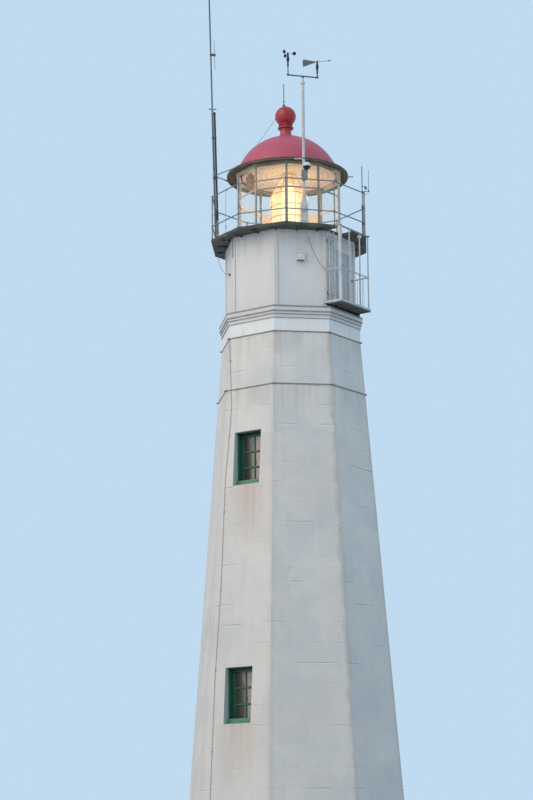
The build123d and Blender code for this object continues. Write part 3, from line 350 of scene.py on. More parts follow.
    # The lower storeys are a shade greyer than the top
    low = add("MapRange", 0, [height, 15.0, 5.0, 0.0, 0.16 * cracks])
    paint = add("Mix", 2, {0: low, 6: paint, 7: "#8F979C"})

    grain = add("TexNoise", "Fac", {"Vector": wall["spot"], "Scale": 45.0, "Detail": 6.0, "Roughness": 0.65})
    speck = add("MapRange", 0, [grain, 0.3, 0.7, 0.93, 1.05])
    paint = add("Mix", 2, {0: 1.0, 6: paint, 7: speck}, blend_type="MULTIPLY")
    wave = add("Math MULTIPLY_ADD", 0, [wobble, 3.0, grain])
    wave = add("Math MULTIPLY_ADD", 0, [crack, -2.0, wave])
    wave = add("Math MULTIPLY_ADD", 0, [split, -2.0, wave])
    wave = add("Math MULTIPLY_ADD", 0, [chip, -1.0, wave])
    wear(paint, wave, 0.006)


weathered_wall("limewashed_concrete", "#D1CFCA", "#C3C5C3", "#B9AEA2", HOOPS, SILLS, 1.0, 0.16)
print("lift lines every", LIFT, "m, stains under", SILLS)

# %% [markdown]
# ## Smoother paint for the watch room and the cornice
# Above the shaft the walls are rendered smooth and painted grey-white, so the same wall recipe is
# used with other colours. The cornice was repainted later than the rest: it is cleaner and whiter.
# Its steps above the frieze, their undersides, a thin strip under each step and its creases carry painted
# shade.

# %% Smoother paint for the watch room and the cornice
weathered_wall("watch_room_paint", "#D6D4D1", "#CCCECF", "#B4AFA8", (19.19,), (), 0.0, 0.06)

start("cornice_paint", Roughness=0.66, Specular_IOR_Level=0.4)
wall = on_face()
broad = add("TexNoise", "Fac", {"Vector": wall["place"], "Scale": 2.2, "Detail": 5.0})
paint = add("Mix", 2, {0: broad, 6: "#E0E4E6", 7: "#D3D4D0"})
# Painted shade: the steps above the frieze are mixed a third of the way to grey
shaded_steps = add("Math GREATER_THAN", 0, [wall["height"], 16.552])
shaded_steps = add("Math MULTIPLY", 0, [shaded_steps, 0.34])
paint = add("Mix", 2, {0: shaded_steps, 6: paint, 7: "#9C9890"})
# Painted shade: creases that ambient occlusion finds are darkened
occlusion = add("AmbientOcclusion", "AO", {"Distance": 0.10}, samples=8)
dirt_and_shade = add("MapRange", 0, [occlusion, 0.75, 0.25, 0.0, 0.55])
paint = add("Mix", 2, {0: dirt_and_shade, 6: paint, 7: "#8A857B"})
# Painted shade: the undersides of the steps and a thin strip below each step are darkened, raggedly
underside_shade = add("NewGeometry", "Normal")
underside_shade = add("SeparateXYZ", "Z", {"Vector": underside_shade})
underside_shade = add("Math LESS_THAN", 0, [underside_shade, -0.5])
for step_low, shade_strip in ((16.550, 0.008), (16.655, 0.012), (16.730, 0.030)):
    shade_strip = add("Math COMPARE", 0, [wall["height"], step_low + shade_strip / 2, shade_strip / 2 + 0.002])
    underside_shade = add("Math MAXIMUM", 0, [underside_shade, shade_strip])
ragged = add("TexNoise", "Fac", {"Vector": wall["place"], "Scale": 6.0, "Detail": 5.0})
ragged = add("MapRange", 0, [ragged, 0.30, 0.60, 0.55, 0.90])
underside_shade = add("Math MULTIPLY", 0, [underside_shade, ragged])
paint = add("Mix", 2, {0: underside_shade, 6: paint, 7: "#74746F"})
pull = add("Mapping", 0, {"Vector": wall["place"], "Scale": (11.0, 1.0, 0.9)})
streak = add("TexNoise", "Fac", {"Vector": pull, "Scale": 1.0, "Detail": 6.0})
line = add("MapRange", 0, [streak, 0.58, 0.74, 0.0, 0.4])
paint = add("Mix", 2, {0: line, 6: paint, 7: "#B2A596"})
grain = add("TexNoise", "Fac", {"Vector": wall["spot"], "Scale": 60.0, "Detail": 4.0})
wear(paint, grain, 0.002)
print("wall paints", sorted(finishes))

# %% [markdown]
# ## Metals and their paints
# The ironwork stands in sea air. Most of it is painted, and the paint fails in the same way on all
# of it: rust starts in small spots, spreads where water stands, and stains what is below. One recipe
# takes the paint's colour, its roughness, how far the rust has gone and how large its spots are.

# %% Metals and their paints
def painted_iron(name, coat, worn, rust, amount, size, rough, metallic=0.0):
    """Paint with a worn tone, rust spots of a real size in metres, and a dull brushed relief."""
    start(name, Metallic=metallic, Specular_IOR_Level=0.45)
    spot = add("TexCoord", "Object")
    cloud = add("TexNoise", "Fac", {"Vector": spot, "Scale": 0.25 / size, "Detail": 5.0, "Roughness": 0.6})
    tone = add("MapRange", 0, [cloud, 0.35, 0.65])
    skin = add("Mix", 2, {0: tone, 6: coat, 7: worn})
    pit = add("TexNoise", "Fac", {"Vector": spot, "Scale": 1 / size, "Detail": 7.0, "Roughness": 0.7})
    low = 0.80 - 0.35 * amount
    spots = add("MapRange", 0, [pit, low, low + 0.08])
    skin = add("Mix", 2, {0: spots, 6: skin, 7: rust})
    dull = add("MapRange", 0, [spots, 0.0, 1.0, rough, 0.92])
    relief = add("Math MULTIPLY_ADD", 0, [spots, -0.6, pit])
    wear(skin, relief, 0.0012, dull)


painted_iron("weathered_zinc", "#5C6970", "#47535B", "#5A5048", 0.20, 0.020, 0.55, 0.3)
painted_iron("hoop_iron", "#6E6861", "#857E76", "#7A5542", 0.55, 0.030, 0.68)
painted_iron("lead_flashing", "#8E9190", "#7C7F7E", "#6E6A62", 0.30, 0.050, 0.60)
painted_iron("painted_conductor", "#A39A91", "#8D857D", "#7A6250", 0.30, 0.020, 0.60)
painted_iron("galvanised_rail", "#8C9191", "#6F7473", "#75583F", 0.30, 0.025, 0.52, 0.35)
painted_iron("white_mast_paint", "#BFC3C2", "#A4A8A6", "#8C6B50", 0.20, 0.040, 0.45)
painted_iron("lantern_white_paint", "#CBC5B8", "#ADA596", "#86664B", 0.28, 0.030, 0.50)
painted_iron("rod_iron", "#4B4744", "#5D5650", "#6B4431", 0.50, 0.015, 0.60)
painted_iron("grey_door_paint", "#B2BABE", "#A2AAAE", "#7B6552", 0.20, 0.050, 0.55)
painted_iron("lamp_box_grey", "#D2D5D3", "#C2C5C3", "#8D7A68", 0.16, 0.040, 0.48)
painted_iron("aged_copper", "#5C4F43", "#4A463F", "#5B6B5C", 0.35, 0.030, 0.55, 0.6)
print("metal paints", len(finishes))

# %% [markdown]
# ## Painted highlight at the lantern's sides
# The lantern's bars are painted a brownish grey. Those at the far left and right face the bright sky,
# so more than 1.2 m to either side a cream is laid over the same paint as a painted highlight.

# %% Painted highlight at the lantern's sides
painted_iron("lantern_bar_paint", "#A59C8D", "#8B8376", "#7A5F48", 0.34, 0.030, 0.55)
across = add("TexCoord", "Object")
across = add("SeparateXYZ", "X", {"Vector": across})
across = add("Math ABSOLUTE", 0, [across])
# Painted highlight: cream on the bars from 1.12 to 1.25 m out and beyond
sky_lit_sides = add("MapRange", 0, [across, 1.12, 1.25, 0.0, 0.85])
under = desk["shader"].inputs["Base Color"].links[0].from_socket
skin = add("Mix", 2, {0: sky_lit_sides, 6: under, 7: "#D8CDB8"})
feed(skin, "Base Color")
print("bars keep their cream beyond 1.25 m")

# %% [markdown]
# ## Gallery deck
# The deck is painted steel plate that has gone nearly black-green. Rain leaves it streaked on the
# underside, and moss grows along the front lip where the plate holds water.

# %% Gallery deck
start("mossy_deck_paint", Roughness=0.8, Specular_IOR_Level=0.3)
wall = on_face()
cloud = add("TexNoise", "Fac", {"Vector": wall["spot"], "Scale": 2.5, "Detail": 7.0, "Roughness": 0.65})
tone = add("MapRange", 0, [cloud, 0.35, 0.65])
paint = add("Mix", 2, {0: tone, 6: "#3F4244", 7: "#5A5B55"})
rust = add("TexNoise", "Fac", {"Vector": wall["spot"], "Scale": 13.0, "Detail": 7.0, "Roughness": 0.72})
rusty = add("MapRange", 0, [rust, 0.56, 0.66, 0.0, 0.75])
paint = add("Mix", 2, {0: rusty, 6: paint, 7: "#54463A"})
upper = add("MapRange", 0, [wall["height"], 19.245, 19.285])
wet = add("MapRange", 0, [rust, 0.40, 0.60, 0.0, 0.8])
moss = add("Math MULTIPLY", 0, [upper, wet])
paint = add("Mix", 2, {0: moss, 6: paint, 7: "#4E5644"})
wear(paint, rust, 0.004)
print("deck done")

# %% [markdown]
# ## Red roof paint
# The dome and its ball are sheet metal under alkyd gloss. The sun has chalked the dome's top to a
# pinkish bloom, while the ball and the sheltered neck keep their deep red. Fine runs follow the
# slope, so the pattern is stretched in height.

# %% Red roof paint
start("chalked_red_paint", Roughness=0.42, Specular_IOR_Level=0.55)
spot = add("TexCoord", "Object")
x = add("SeparateXYZ", "X", {"Vector": spot})
y = add("SeparateXYZ", "Y", {"Vector": spot})
z = add("SeparateXYZ", "Z", {"Vector": spot})
turn = add("Math ARCTAN2", 0, [y, x])
pull = add("CombineXYZ", 0, {"X": turn, "Y": 0.0, "Z": z})
runs = add("Mapping", 0, {"Vector": pull, "Scale": (9.0, 1.0, 1.1)})
runs = add("TexNoise", "Fac", {"Vector": runs, "Scale": 1.0, "Detail": 6.0, "Roughness": 0.6})
cloud = add("TexNoise", "Fac", {"Vector": spot, "Scale": 1.9, "Detail": 5.0})
bloom = add("MapRange", 0, [z, 22.82, 22.60, 0.0, 0.9])
speck = add("MapRange", 0, [cloud, 0.25, 0.75, 0.75, 1.0])
bloom = add("Math MULTIPLY", 0, [bloom, speck])
paint = add("Mix", 2, {0: bloom, 6: "#A01F30", 7: "#B55166"})
faded = add("MapRange", 0, [runs, 0.55, 0.78, 0.0, 0.35])
paint = add("Mix", 2, {0: faded, 6: paint, 7: "#BF7F88"})
dark = add("MapRange", 0, [runs, 0.42, 0.25, 0.0, 0.4])
paint = add("Mix", 2, {0: dark, 6: paint, 7: "#6E2430"})
rough = add("MapRange", 0, [bloom, 0.0, 1.0, 0.32, 0.50])
wear(paint, cloud, 0.003, rough)
print("roof red done")

# %% [markdown]
# ## Brim
# The flared brim is the same sheet metal in a brown-black paint. Its underside is lit warm by the
# lamp and carries radial rust streaks that run outwards with the drips.

# %% Brim
start("brown_brim_paint", Roughness=0.7, Specular_IOR_Level=0.35)
spot = add("TexCoord", "Object")
x = add("SeparateXYZ", "X", {"Vector": spot})
y = add("SeparateXYZ", "Y", {"Vector": spot})
turn = add("Math ARCTAN2", 0, [y, x])
reach = add("VectorMath LENGTH", "Value", [spot])
pull = add("CombineXYZ", 0, {"X": turn, "Y": reach, "Z": 0.0})
pull = add("Mapping", 0, {"Vector": pull, "Scale": (16.0, 1.2, 1.0)})
runs = add("TexNoise", "Fac", {"Vector": pull, "Scale": 1.0, "Detail": 7.0, "Roughness": 0.66})
tone = add("MapRange", 0, [runs, 0.35, 0.65])
paint = add("Mix", 2, {0: tone, 6: "#4A453D", 7: "#6B6252"})
rusty = add("MapRange", 0, [runs, 0.58, 0.70, 0.0, 0.7])
paint = add("Mix", 2, {0: rusty, 6: paint, 7: "#66452F"})
wear(paint, runs, 0.003)
print("brim done")

# %% [markdown]
# ## Green window paint
# The window boxes are pine under dark green gloss. Grain shows through as fine upright ridges about
# 4 mm apart, drawn a little coarse so that they show. A band at the sill is a lighter green, and the head
# of the box is darkened nearly black with painted shade. The oak door was painted over in the same green.

# %% Green window paint
start("green_painted_pine", Roughness=0.45, Specular_IOR_Level=0.5)
wall = on_face()
pull = add("Mapping", 0, {"Vector": wall["spot"], "Scale": (180.0, 180.0, 9.0)})
grain = add("TexNoise", "Fac", {"Vector": pull, "Scale": 1.0, "Detail": 4.0})
cloud = add("TexNoise", "Fac", {"Vector": wall["spot"], "Scale": 5.0, "Detail": 5.0})
paint = add("Mix", 2, {0: cloud, 6: "#1C5140", 7: "#2F6E56"})
for sill in SILLS:
    low = add("Math COMPARE", 0, [wall["height"], sill + 0.07, 0.085])
    paint = add("Mix", 2, {0: low, 6: paint, 7: "#3F7F66"})
    # Painted shade: the head of each box is darkened nearly black
    high = add("Math COMPARE", 0, [wall["height"], sill + 1.54, 0.060])
    high = add("Math MULTIPLY", 0, [high, 0.8])
    paint = add("Mix", 2, {0: high, 6: paint, 7: "#16241F"})
ridges = add("MapRange", 0, [grain, 0.35, 0.65, 0.85, 1.08])
paint = add("Mix", 2, {0: 1.0, 6: paint, 7: ridges}, blend_type="MULTIPLY")
wear(paint, grain, 0.0008)

start("varnished_oak_door", Roughness=0.5)
wall = on_face()
pull = add("Mapping", 0, {"Vector": wall["spot"], "Scale": (60.0, 60.0, 3.0)})
grain = add("TexNoise", "Fac", {"Vector": pull, "Scale": 1.0, "Detail": 6.0})
paint = add("Mix", 2, {0: grain, 6: "#1F4436", 7: "#386652"})
wear(paint, grain, 0.001)
print("woodwork done")

# %% [markdown]
# ## Glass
# Three glasses are here. The lantern's panes are clear plate with a haze of salt. The window panes
# are old sheet glass so dusty that they read as brownish grey, and a painted reflection of the bright sky
# makes the right-hand panes lighter than the left.
# The lens is cut glass in a warm glow: it lets light through but also gives some of its own, because
# the lamp behind it is lit.

# %% Glass
start("salt_hazed_plate", Roughness=0.05, IOR=1.45)
spot = add("TexCoord", "Object")
haze = add("TexNoise", "Fac", {"Vector": spot, "Scale": 3.0, "Detail": 6.0})
film = add("Mix", 2, {0: haze, 6: "#DCE0E0", 7: "#EEF0EE"})
salt = add("MapRange", 0, [haze, 0.40, 0.80, 0.03, 0.13])
feed(salt, "Alpha")
wear(film, haze, 0.0004)

start("dusty_sheet_glass", IOR=1.5, Specular_IOR_Level=0.6)
wall = on_face()
ripple = add("TexNoise", "Fac", {"Vector": wall["place"], "Scale": 4.0, "Detail": 2.0})
pull = add("Mapping", 0, {"Vector": wall["place"], "Scale": (7.0, 1.0, 1.1)})
dust = add("TexNoise", "Fac", {"Vector": pull, "Scale": 1.0, "Detail": 5.0})
# Painted reflection: lighter towards the right of each window, darker to the left, broken by dust streaks
skin = add("Math MULTIPLY_ADD", 0, [dust, 0.35, wall["along"]])
skin = add("MapRange", 0, [skin, 0.04, 0.16])
skin = add("Mix", 2, {0: skin, 6: "#3F3939", 7: "#958782"})
rough = add("MapRange", 0, [dust, 0.0, 1.0, 0.08, 0.35])
wear(skin, ripple, 0.004, rough)

start("lit_lens_glass", Roughness=0.12, IOR=1.52, Transmission_Weight=0.45, Emission_Strength=0.16)
spot = add("TexCoord", "Object")
x = add("SeparateXYZ", "X", {"Vector": spot})
z = add("SeparateXYZ", "Z", {"Vector": spot})
rise = add("MapRange", 0, [z, 19.70, 21.45])
glow = add("Mix", 2, {0: rise, 6: "#F0E4C8", 7: "#E6D0AE"})
feed(glow, "Base Color")
feed(glow, "Emission Color")
print("glass done")

# %% [markdown]
# ## Plastics and fibreglass
# The instruments are moulded plastic: the cups are black nylon, the vane's plate is the same gone
# grey in the sun, the camera has a white housing over a smoked bowl, and the aerials are grey
# fibreglass rod and a dark sleeve.

# %% Plastics and fibreglass
def moulded(name, body, faded, rough, grain):
    """Plastic with a sun-faded tone and a moulded grain of a real size in metres."""
    start(name, IOR=1.46, Specular_IOR_Level=0.5)
    spot = add("TexCoord", "Object")
    cloud = add("TexNoise", "Fac", {"Vector": spot, "Scale": 4.0, "Detail": 4.0})
    skin = add("Mix", 2, {0: cloud, 6: body, 7: faded})
    tooth = add("TexNoise", "Fac", {"Vector": spot, "Scale": 1 / grain, "Detail": 3.0})
    dull = add("MapRange", 0, [cloud, 0.0, 1.0, rough - 0.08, rough + 0.12])
    wear(skin, tooth, 0.0004, dull)


moulded("black_nylon", "#17181A", "#2C2E30", 0.42, 0.004)
moulded("faded_vane_plastic", "#4E5156", "#66696C", 0.45, 0.004)
moulded("white_housing", "#D5DADC", "#BCC2C5", 0.35, 0.004)
moulded("smoked_bowl", "#16181B", "#22262B", 0.12, 0.010)
moulded("grey_fibreglass", "#626B71", "#4E575E", 0.48, 0.006)
moulded("dark_aerial_sleeve", "#24262B", "#33363B", 0.50, 0.006)
print("finishes", len(finishes))

# %% [markdown]
# ## Finishes inside the lantern
# Everything inside the glass is lit by the lamp, and the picture shows it much brighter than
# daylight would make it. So the ceiling, the cream boards, the spare lamp and the brass cage get a
# little light in their own colours. The mantle is the lamp itself and the brightest of all.

# %% Finishes inside the lantern
def lamplit(name, near, far, glow, rough, middle_level, metallic=0.0, sheet=0.0):
    """Paint lit by the lamp: a glow that weakens away from the lens, over a brushed grain."""
    start(name, Roughness=rough, Metallic=metallic, Emission_Strength=glow)
    spot = add("TexCoord", "Object")
    shifted = add("VectorMath SUBTRACT", "Vector", [spot, (0.0, 0.0, middle_level)])
    reach = add("VectorMath LENGTH", "Value", [shifted])
    cloud = add("TexNoise", "Fac", {"Vector": spot, "Scale": 3.0, "Detail": 5.0, "Roughness": 0.6})
    reach = add("Math MULTIPLY_ADD", 0, [cloud, 0.5, reach])
    fade = add("MapRange", 0, [reach, 0.55, 1.75])
    skin = add("Mix", 2, {0: fade, 6: near, 7: far})
    if sheet:
        flat = add("VectorMath MULTIPLY", "Vector", [spot, (1.0, 1.0, 0.0)])
        rings = add("VectorMath LENGTH", "Value", [flat])
        rings = add("Math DIVIDE", 0, [rings, sheet])
        rings = add("Math FRACT", 0, [rings])
        rings = add("Math SUBTRACT", 0, [rings, 0.5])
        rings = add("Math ABSOLUTE", 0, [rings])
        rings = add("MapRange", 0, [rings, 0.25, 0.47, 0.0, 0.28])
        skin = add("Mix", 2, {0: rings, 6: skin, 7: "#9A7150"})
    feed(skin, "Emission Color")
    brush = add("TexNoise", "Fac", {"Vector": spot, "Scale": 60.0, "Detail": 4.0})
    wear(skin, brush, 0.001)


lamplit("lamplit_ceiling_paint", "#EAD4B2", "#D8BAA8", 0.17, 0.55, 21.1, sheet=0.17)
lamplit("lamplit_cream_paint", "#F6EBD2", "#E0CBB4", 0.15, 0.5, 20.3)
lamplit("lamplit_copper", "#B98A5A", "#946645", 0.22, 0.35, 20.6, 0.5)
lamplit("lens_brass", "#D9B26A", "#B58A4A", 0.18, 0.30, 20.3, 0.9)
start("lit_mantle", Roughness=0.4, Emission_Strength=2.2)
spot = add("TexCoord", "Object")
rise = add("SeparateXYZ", "Z", {"Vector": spot})
rise = add("MapRange", 0, [rise, 19.9, 20.9])
core = add("Mix", 2, {0: rise, 6: "#FFF1B8", 7: "#FFF7D6"})
feed(core, "Base Color")
feed(core, "Emission Color")
print("lit finishes", [name for name in finishes if name.startswith("l")])

# %% [markdown]
# ## Cable, rope and plate
# The leads are black rubber that has gone dull, the halyard is laid hemp-grey polypropylene, and its
# strands are 4 mm wide. The riser beside the antenna mast is pipe rusted through its paint, and the
# underside of the balcony is dark grey plate with rust coming through.

# %% Cable, rope and plate
moulded("black_cable", "#26282A", "#3C3F41", 0.60, 0.003)
start("grey_rope", Roughness=0.85)
spot = add("TexCoord", "Object")
twist = add("TexWave", "Fac", {"Vector": spot, "Scale": 60.0, "Distortion": 1.5}, bands_direction="DIAGONAL")
tone = add("Mix", 2, {0: twist, 6: "#6A7277", 7: "#8C9599"})
wear(tone, twist, 0.0008)
painted_iron("rusted_riser", "#8A7466", "#A79A8F", "#6B3F2A", 0.95, 0.030, 0.72)
painted_iron("dark_plate_paint", "#687074", "#52575A", "#54402F", 0.75, 0.045, 0.78)
print("finishes", len(finishes))

# %% [markdown]
# ## Paint on the solids
# Every solid that stays in view gets its finish in its own material slot. Each solid's shape and
# place stay exactly as they came.

# %% Paint on the solids
finish_of = {
    "limewashed_concrete": [name for name in nodes if name.endswith("_wall")]
    + ["ground_floor", "lower_landing", "upper_landing", "watch_room_floor"],
    "watch_room_paint": ["watch_room_panels", "watch_room_pilasters"],
    "cornice_paint": ["cornice"],
    "hoop_iron": ["tie_bands"],
    "grey_door_paint": ["watch_room_door"],
    "green_painted_pine": ["window_sashes", "entrance_door_frame"],
    "varnished_oak_door": ["entrance_door"],
    "dusty_sheet_glass": ["window_glass"],
    "mossy_deck_paint": ["gallery_deck", "balcony_floor"],
    "galvanised_rail": [
        "gallery_posts", "gallery_top_rails", "gallery_mid_rails", "hatch_bar",
        "brim_braces",
    ],
    "lantern_white_paint": [
        "lantern_curb", "lens_pedestal",
    ],
    "lantern_bar_paint": ["lantern_head", "lantern_mullions", "lantern_transoms"],
    "salt_hazed_plate": ["lantern_glass"],
    "lit_lens_glass": ["lens"],
    "brown_brim_paint": ["roof_brim"],
    "chalked_red_paint": ["roof_dome", "ball_ventilator"],
    "rod_iron": ["lightning_rod", "antenna_clamps", "antenna_dipole"],
    "white_mast_paint": ["balcony_posts", "balcony_guard", "balcony_ladder", "instrument_mast"],
    "weathered_zinc": ["instrument_arm"],
    "grey_fibreglass": ["antenna_mast", "corner_antenna"],
    "black_nylon": ["cup_rotor", "sensor_bodies"],
    "faded_vane_plastic": ["wind_vane"],
    "dark_aerial_sleeve": ["tube_antenna"],
    "white_housing": ["dome_camera", "balcony_lamp"],
    "lamp_box_grey": ["wall_lamp"],
    "painted_conductor": ["down_conductor"],
}
for finish_name, painted in finish_of.items():
    for node_name in painted:
        mesh = nodes[node_name].data
        mesh.materials.clear()
        mesh.materials.append(finishes[finish_name])
bare = set(nodes) - {name for painted in finish_of.values() for name in painted}
print("solids without a finish:", sorted(bare))

# %% [markdown]
# ## Loose leads
# Three thin leads hang on the tower: one from the front panel's head across to the balcony, one
# that drops from the deck's underside and swings round to a gland on the left face, and a halyard
# tied to the rail. Each is one smooth curve, so they come before the rigid pieces: a lead that
# sagged outside the picture would have to be put right first.

# %% Loose leads
def at(azimuth, reach, along, level):
    """A point of a face: out from the axis, along the face and up, in metres."""
    turn = math.radians(azimuth)
    out = Vector((math.sin(turn), -math.cos(turn), 0.0))
    side = Vector((math.cos(turn), math.sin(turn), 0.0))
    return out * reach + side * along + Vector((0.0, 0.0, level))


up = Vector((0.0, 0.0, 1.0))


def lead(name, points, diameter, finish):
    """A round lead on one NURBS spline through chosen control points."""
    curve = bpy.data.curves.new(name, "CURVE")
    curve.dimensions = "3D"
    curve.bevel_depth = diameter / 2
    curve.bevel_resolution = 3
    curve.resolution_u = 10
    spline = curve.splines.new("NURBS")
    spline.points.add(len(points) - 1)
    for knot, spot in zip(spline.points, points):
        knot.co = (*spot, 1.0)
    spline.order_u = 3
    spline.use_endpoint_u = True
    curve.materials.append(finishes[finish])
    made = bpy.data.objects.new(name, curve)
    scene.collection.objects.link(made)
    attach(made, "tower")
    print(name, "points", len(points))
    return made


front_lead = lead("front_lead", [
    at(0, 1.786, 0.240, 18.985), at(0, 1.830, 0.242, 18.975), at(0, 1.850, 0.290, 18.80),
    at(0, 1.862, 0.380, 18.54), at(0, 1.872, 0.500, 18.30), at(0, 1.888, 0.620, 18.12),
    at(45, 1.860, -0.850, 18.02),
], 0.011, "black_cable")
left_lead = lead("left_lead", [
    Vector((-2.060, 0.708, 19.200)), Vector((-2.056, 0.704, 19.100)), Vector((-2.036, 0.640, 18.920)),
    Vector((-2.010, 0.520, 18.715)), Vector((-1.975, 0.350, 18.535)), Vector((-1.920, 0.150, 18.390)),
    Vector((-1.862, -0.060, 18.290)), Vector((-1.812, -0.130, 18.270)),
], 0.011, "black_cable")
halyard = lead("halyard", [
    at(-64, 2.262, 0.0, 20.600), at(-64, 2.266, 0.0, 20.480), at(-63.8, 2.278, 0.0, 20.060),
    at(-63.4, 2.292, 0.0, 19.620), at(-63, 2.300, 0.0, 19.360), at(-62.6, 2.300, 0.0, 19.160),
    at(-62.4, 2.296, 0.0, 19.010),
], 0.010, "grey_rope")

# %% [markdown]
# A lead's own length is read from its spline and printed. The halyard ends in a knot, and the other two go
# into a gland.

# %% Lengths of the leads
def length_of(made):
    """Length along a lead's spline, in metres."""
    bevel, made.data.bevel_depth = made.data.bevel_depth, 0.0
    line = bpy.data.meshes.new_from_object(made)
    made.data.bevel_depth = bevel
    spots = [vertex.co.copy() for vertex in line.vertices]
    bpy.data.meshes.remove(line)
    return sum((b - a).length for a, b in zip(spots, spots[1:]))


for made, exit_point, width, far_end in (
    (front_lead, at(0, 1.786, 0.240, 18.985), 0.011, "object"),
    (left_lead, Vector((-2.060, 0.708, 19.200)), 0.011, "object"),
    (halyard, at(-64, 2.262, 0.0, 20.600), 0.010, "knot"),
):
    length = round(length_of(made), 3)
    tuple(exit_point)
    print(made.name, "is", length, "m long")

# %% [markdown]
# ## Building small pieces
# The hardware is made of a few kinds of form: bars, pipes, turned parts and bolts. They are drawn
# into a bmesh, which is Blender's mesh while it is being worked on. One such bench serves for all,
# and done() takes what lies on it as a piece and clears it. A place on the tower is given as people
# on the site would give it: which face, how far out, how far along and how high.

# %% Building small pieces
bench = bmesh.new()


def facing(azimuth):
    """The directions out of a face and along it."""
    return at(azimuth, 1.0, 0.0, 0.0), at(azimuth, 0.0, 1.0, 0.0)


def bar(start, end, across, width, depth, soft=0.0):
    """A bar from start to end, its width measured towards across, its long edges softened."""
    run = (end - start).normalized()
    wide = (across - run * across.dot(run)).normalized() * width / 2
    deep = run.cross(wide).normalized() * depth / 2
    corners = ((-1, -1), (1, -1), (1, 1), (-1, 1))
    rings = [[bench.verts.new(c + wide * a + deep * b) for a, b in corners] for c in (start, end)]
    sides = [bench.faces.new((rings[0][i], rings[0][i - 1], rings[1][i - 1], rings[1][i])) for i in range(4)]
    ends = [bench.faces.new(rings[0]), bench.faces.new(rings[1][::-1])]
    if soft:
        edges = {edge for face in sides + ends for edge in face.edges}
        bmesh.ops.bevel(bench, geom=list(edges), offset=soft, segments=2, affect="EDGES", profile=0.6)


def beam(middle, half, across, width, depth, soft=0.0):
    """A bar given by its middle and by half of its length."""
    bar(middle - half, middle + half, across, width, depth, soft)


print("out of the front face and along it", facing(0))

# %% [markdown]
# ## Pipes and turned parts
# A pipe carries its ring of corners along a path without twisting it. A turned part is what a lathe
# would leave: a profile of radius and height pairs swung round an axis. Collars, ferrules and sockets
# share one profile, which differs only in its sizes.

# %% Pipes and turned parts
def pipe(path, radius, sides=10, closed=False):
    """A round pipe through the points of a path; radius is one number or one for each point."""
    sizes = radius if isinstance(radius, (list, tuple)) else [radius] * len(path)
    count = len(path)
    first = (path[1] - path[0]).normalized()
    normal = first.cross(up)
    normal = normal.normalized() if normal.length > 0.01 else Vector((1.0, 0.0, 0.0))
    rings = []
    for number, spot in enumerate(path):
        after = path[(number + 1) % count] if closed or number + 1 < count else spot
        before = path[number - 1] if closed or number else spot
        run = (after - before).normalized()
        normal = (normal - run * normal.dot(run)).normalized()
        other = run.cross(normal)
        turns = [2 * math.pi * step / sides for step in range(sides)]
        ring = [spot + (normal * math.cos(t) + other * math.sin(t)) * sizes[number] for t in turns]
        rings.append([bench.verts.new(point) for point in ring])
    pairs = list(zip(rings, rings[1:])) + ([(rings[-1], rings[0])] if closed else [])
    for low, high in pairs:
        for step in range(sides):
            bench.faces.new((low[step - 1], low[step], high[step], high[step - 1]))
    if not closed:
        bench.faces.new(rings[0][::-1])
        bench.faces.new(rings[-1])


def turned(spot, profile, sides=24, axis=up, spin=0.0):
    """A turned part: profile is radius and height pairs from the bottom, along its axis."""
    lean = up.rotation_difference(axis)
    rings = []
    for radius, height in profile:
        count = sides if radius > 1e-6 else 1
        turns = [spin + 2 * math.pi * step / sides for step in range(count)]
        ring = [Vector((radius * math.cos(t), radius * math.sin(t), height)) for t in turns]
        rings.append([bench.verts.new(spot + lean @ point) for point in ring])
    for low, high in zip(rings, rings[1:]):
        for step in range(sides):
            if len(low) == 1:
                bench.faces.new((low[0], high[step], high[step - 1]))
            elif len(high) == 1:
                bench.faces.new((low[step - 1], low[step], high[0]))
            else:
                bench.faces.new((low[step - 1], low[step], high[step], high[step - 1]))
    for ring, turned_over in ((rings[0], True), (rings[-1], False)):
        if len(ring) > 1:
            bench.faces.new(ring[::-1] if turned_over else ring)


def collar(inner, outer, height, soft):
    """The profile of a collar that stands from the inner to the outer radius, its edges softened."""
    return [(inner, 0.0), (outer, soft), (outer, height - soft), (inner, height)]


def circle(middle, first, second, count):
    """The points of a circle or an ellipse; the two vectors reach from its middle to its line."""
    turns = [2 * math.pi * step / count for step in range(count)]
    return [middle + first * math.cos(t) + second * math.sin(t) for t in turns]


print("a collar's profile", collar(0.020, 0.026, 0.040, 0.003))

# %% [markdown]
# ## Bolts, levels and finished pieces
# Bolt heads are turned with six sides and stand at any angle, because a spanner leaves them so. The
# levels of the solids say where things go, and the shaft's faces lean in towards the frieze.

# %% Bolts, levels and finished pieces
def levels(name):
    """The lowest and the highest level of a solid."""
    low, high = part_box(name)
    return low[2], high[2]


def bolt(spot, out, size):
    """A washer and a hexagon head with a rounded crown, size across its corners."""
    half = size / 2
    turned(spot, [(half * 1.35, -0.001), (half * 1.35, size * 0.10), (half * 1.2, size * 0.14)], 16, out)
    head = [(half, size * 0.10), (half, size * 0.48), (half * 0.80, size * 0.62), (0.0, size * 0.66)]
    turned(spot, head, 6, out, spin=dice.random())


def done(name, finish, body="tower", crease=32):
    """Take what lies on the bench as a named piece with its finish, riding on its body."""
    bmesh.ops.recalc_face_normals(bench, faces=bench.faces)
    mesh = bpy.data.meshes.new(name)
    bench.to_mesh(mesh)
    bench.clear()
    mesh.materials.append(finishes[finish])
    mesh.polygons.foreach_set("use_smooth", [True] * len(mesh.polygons))
    mesh.set_sharp_from_angle(angle=math.radians(crease))
    piece = bpy.data.objects.new(name, mesh)
    scene.collection.objects.link(piece)
    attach(piece, body)
    print(name, len(mesh.polygons), "faces")
    return piece


TENTH = math.cos(math.pi / 10)
shaft_top = levels("cornice")[0]


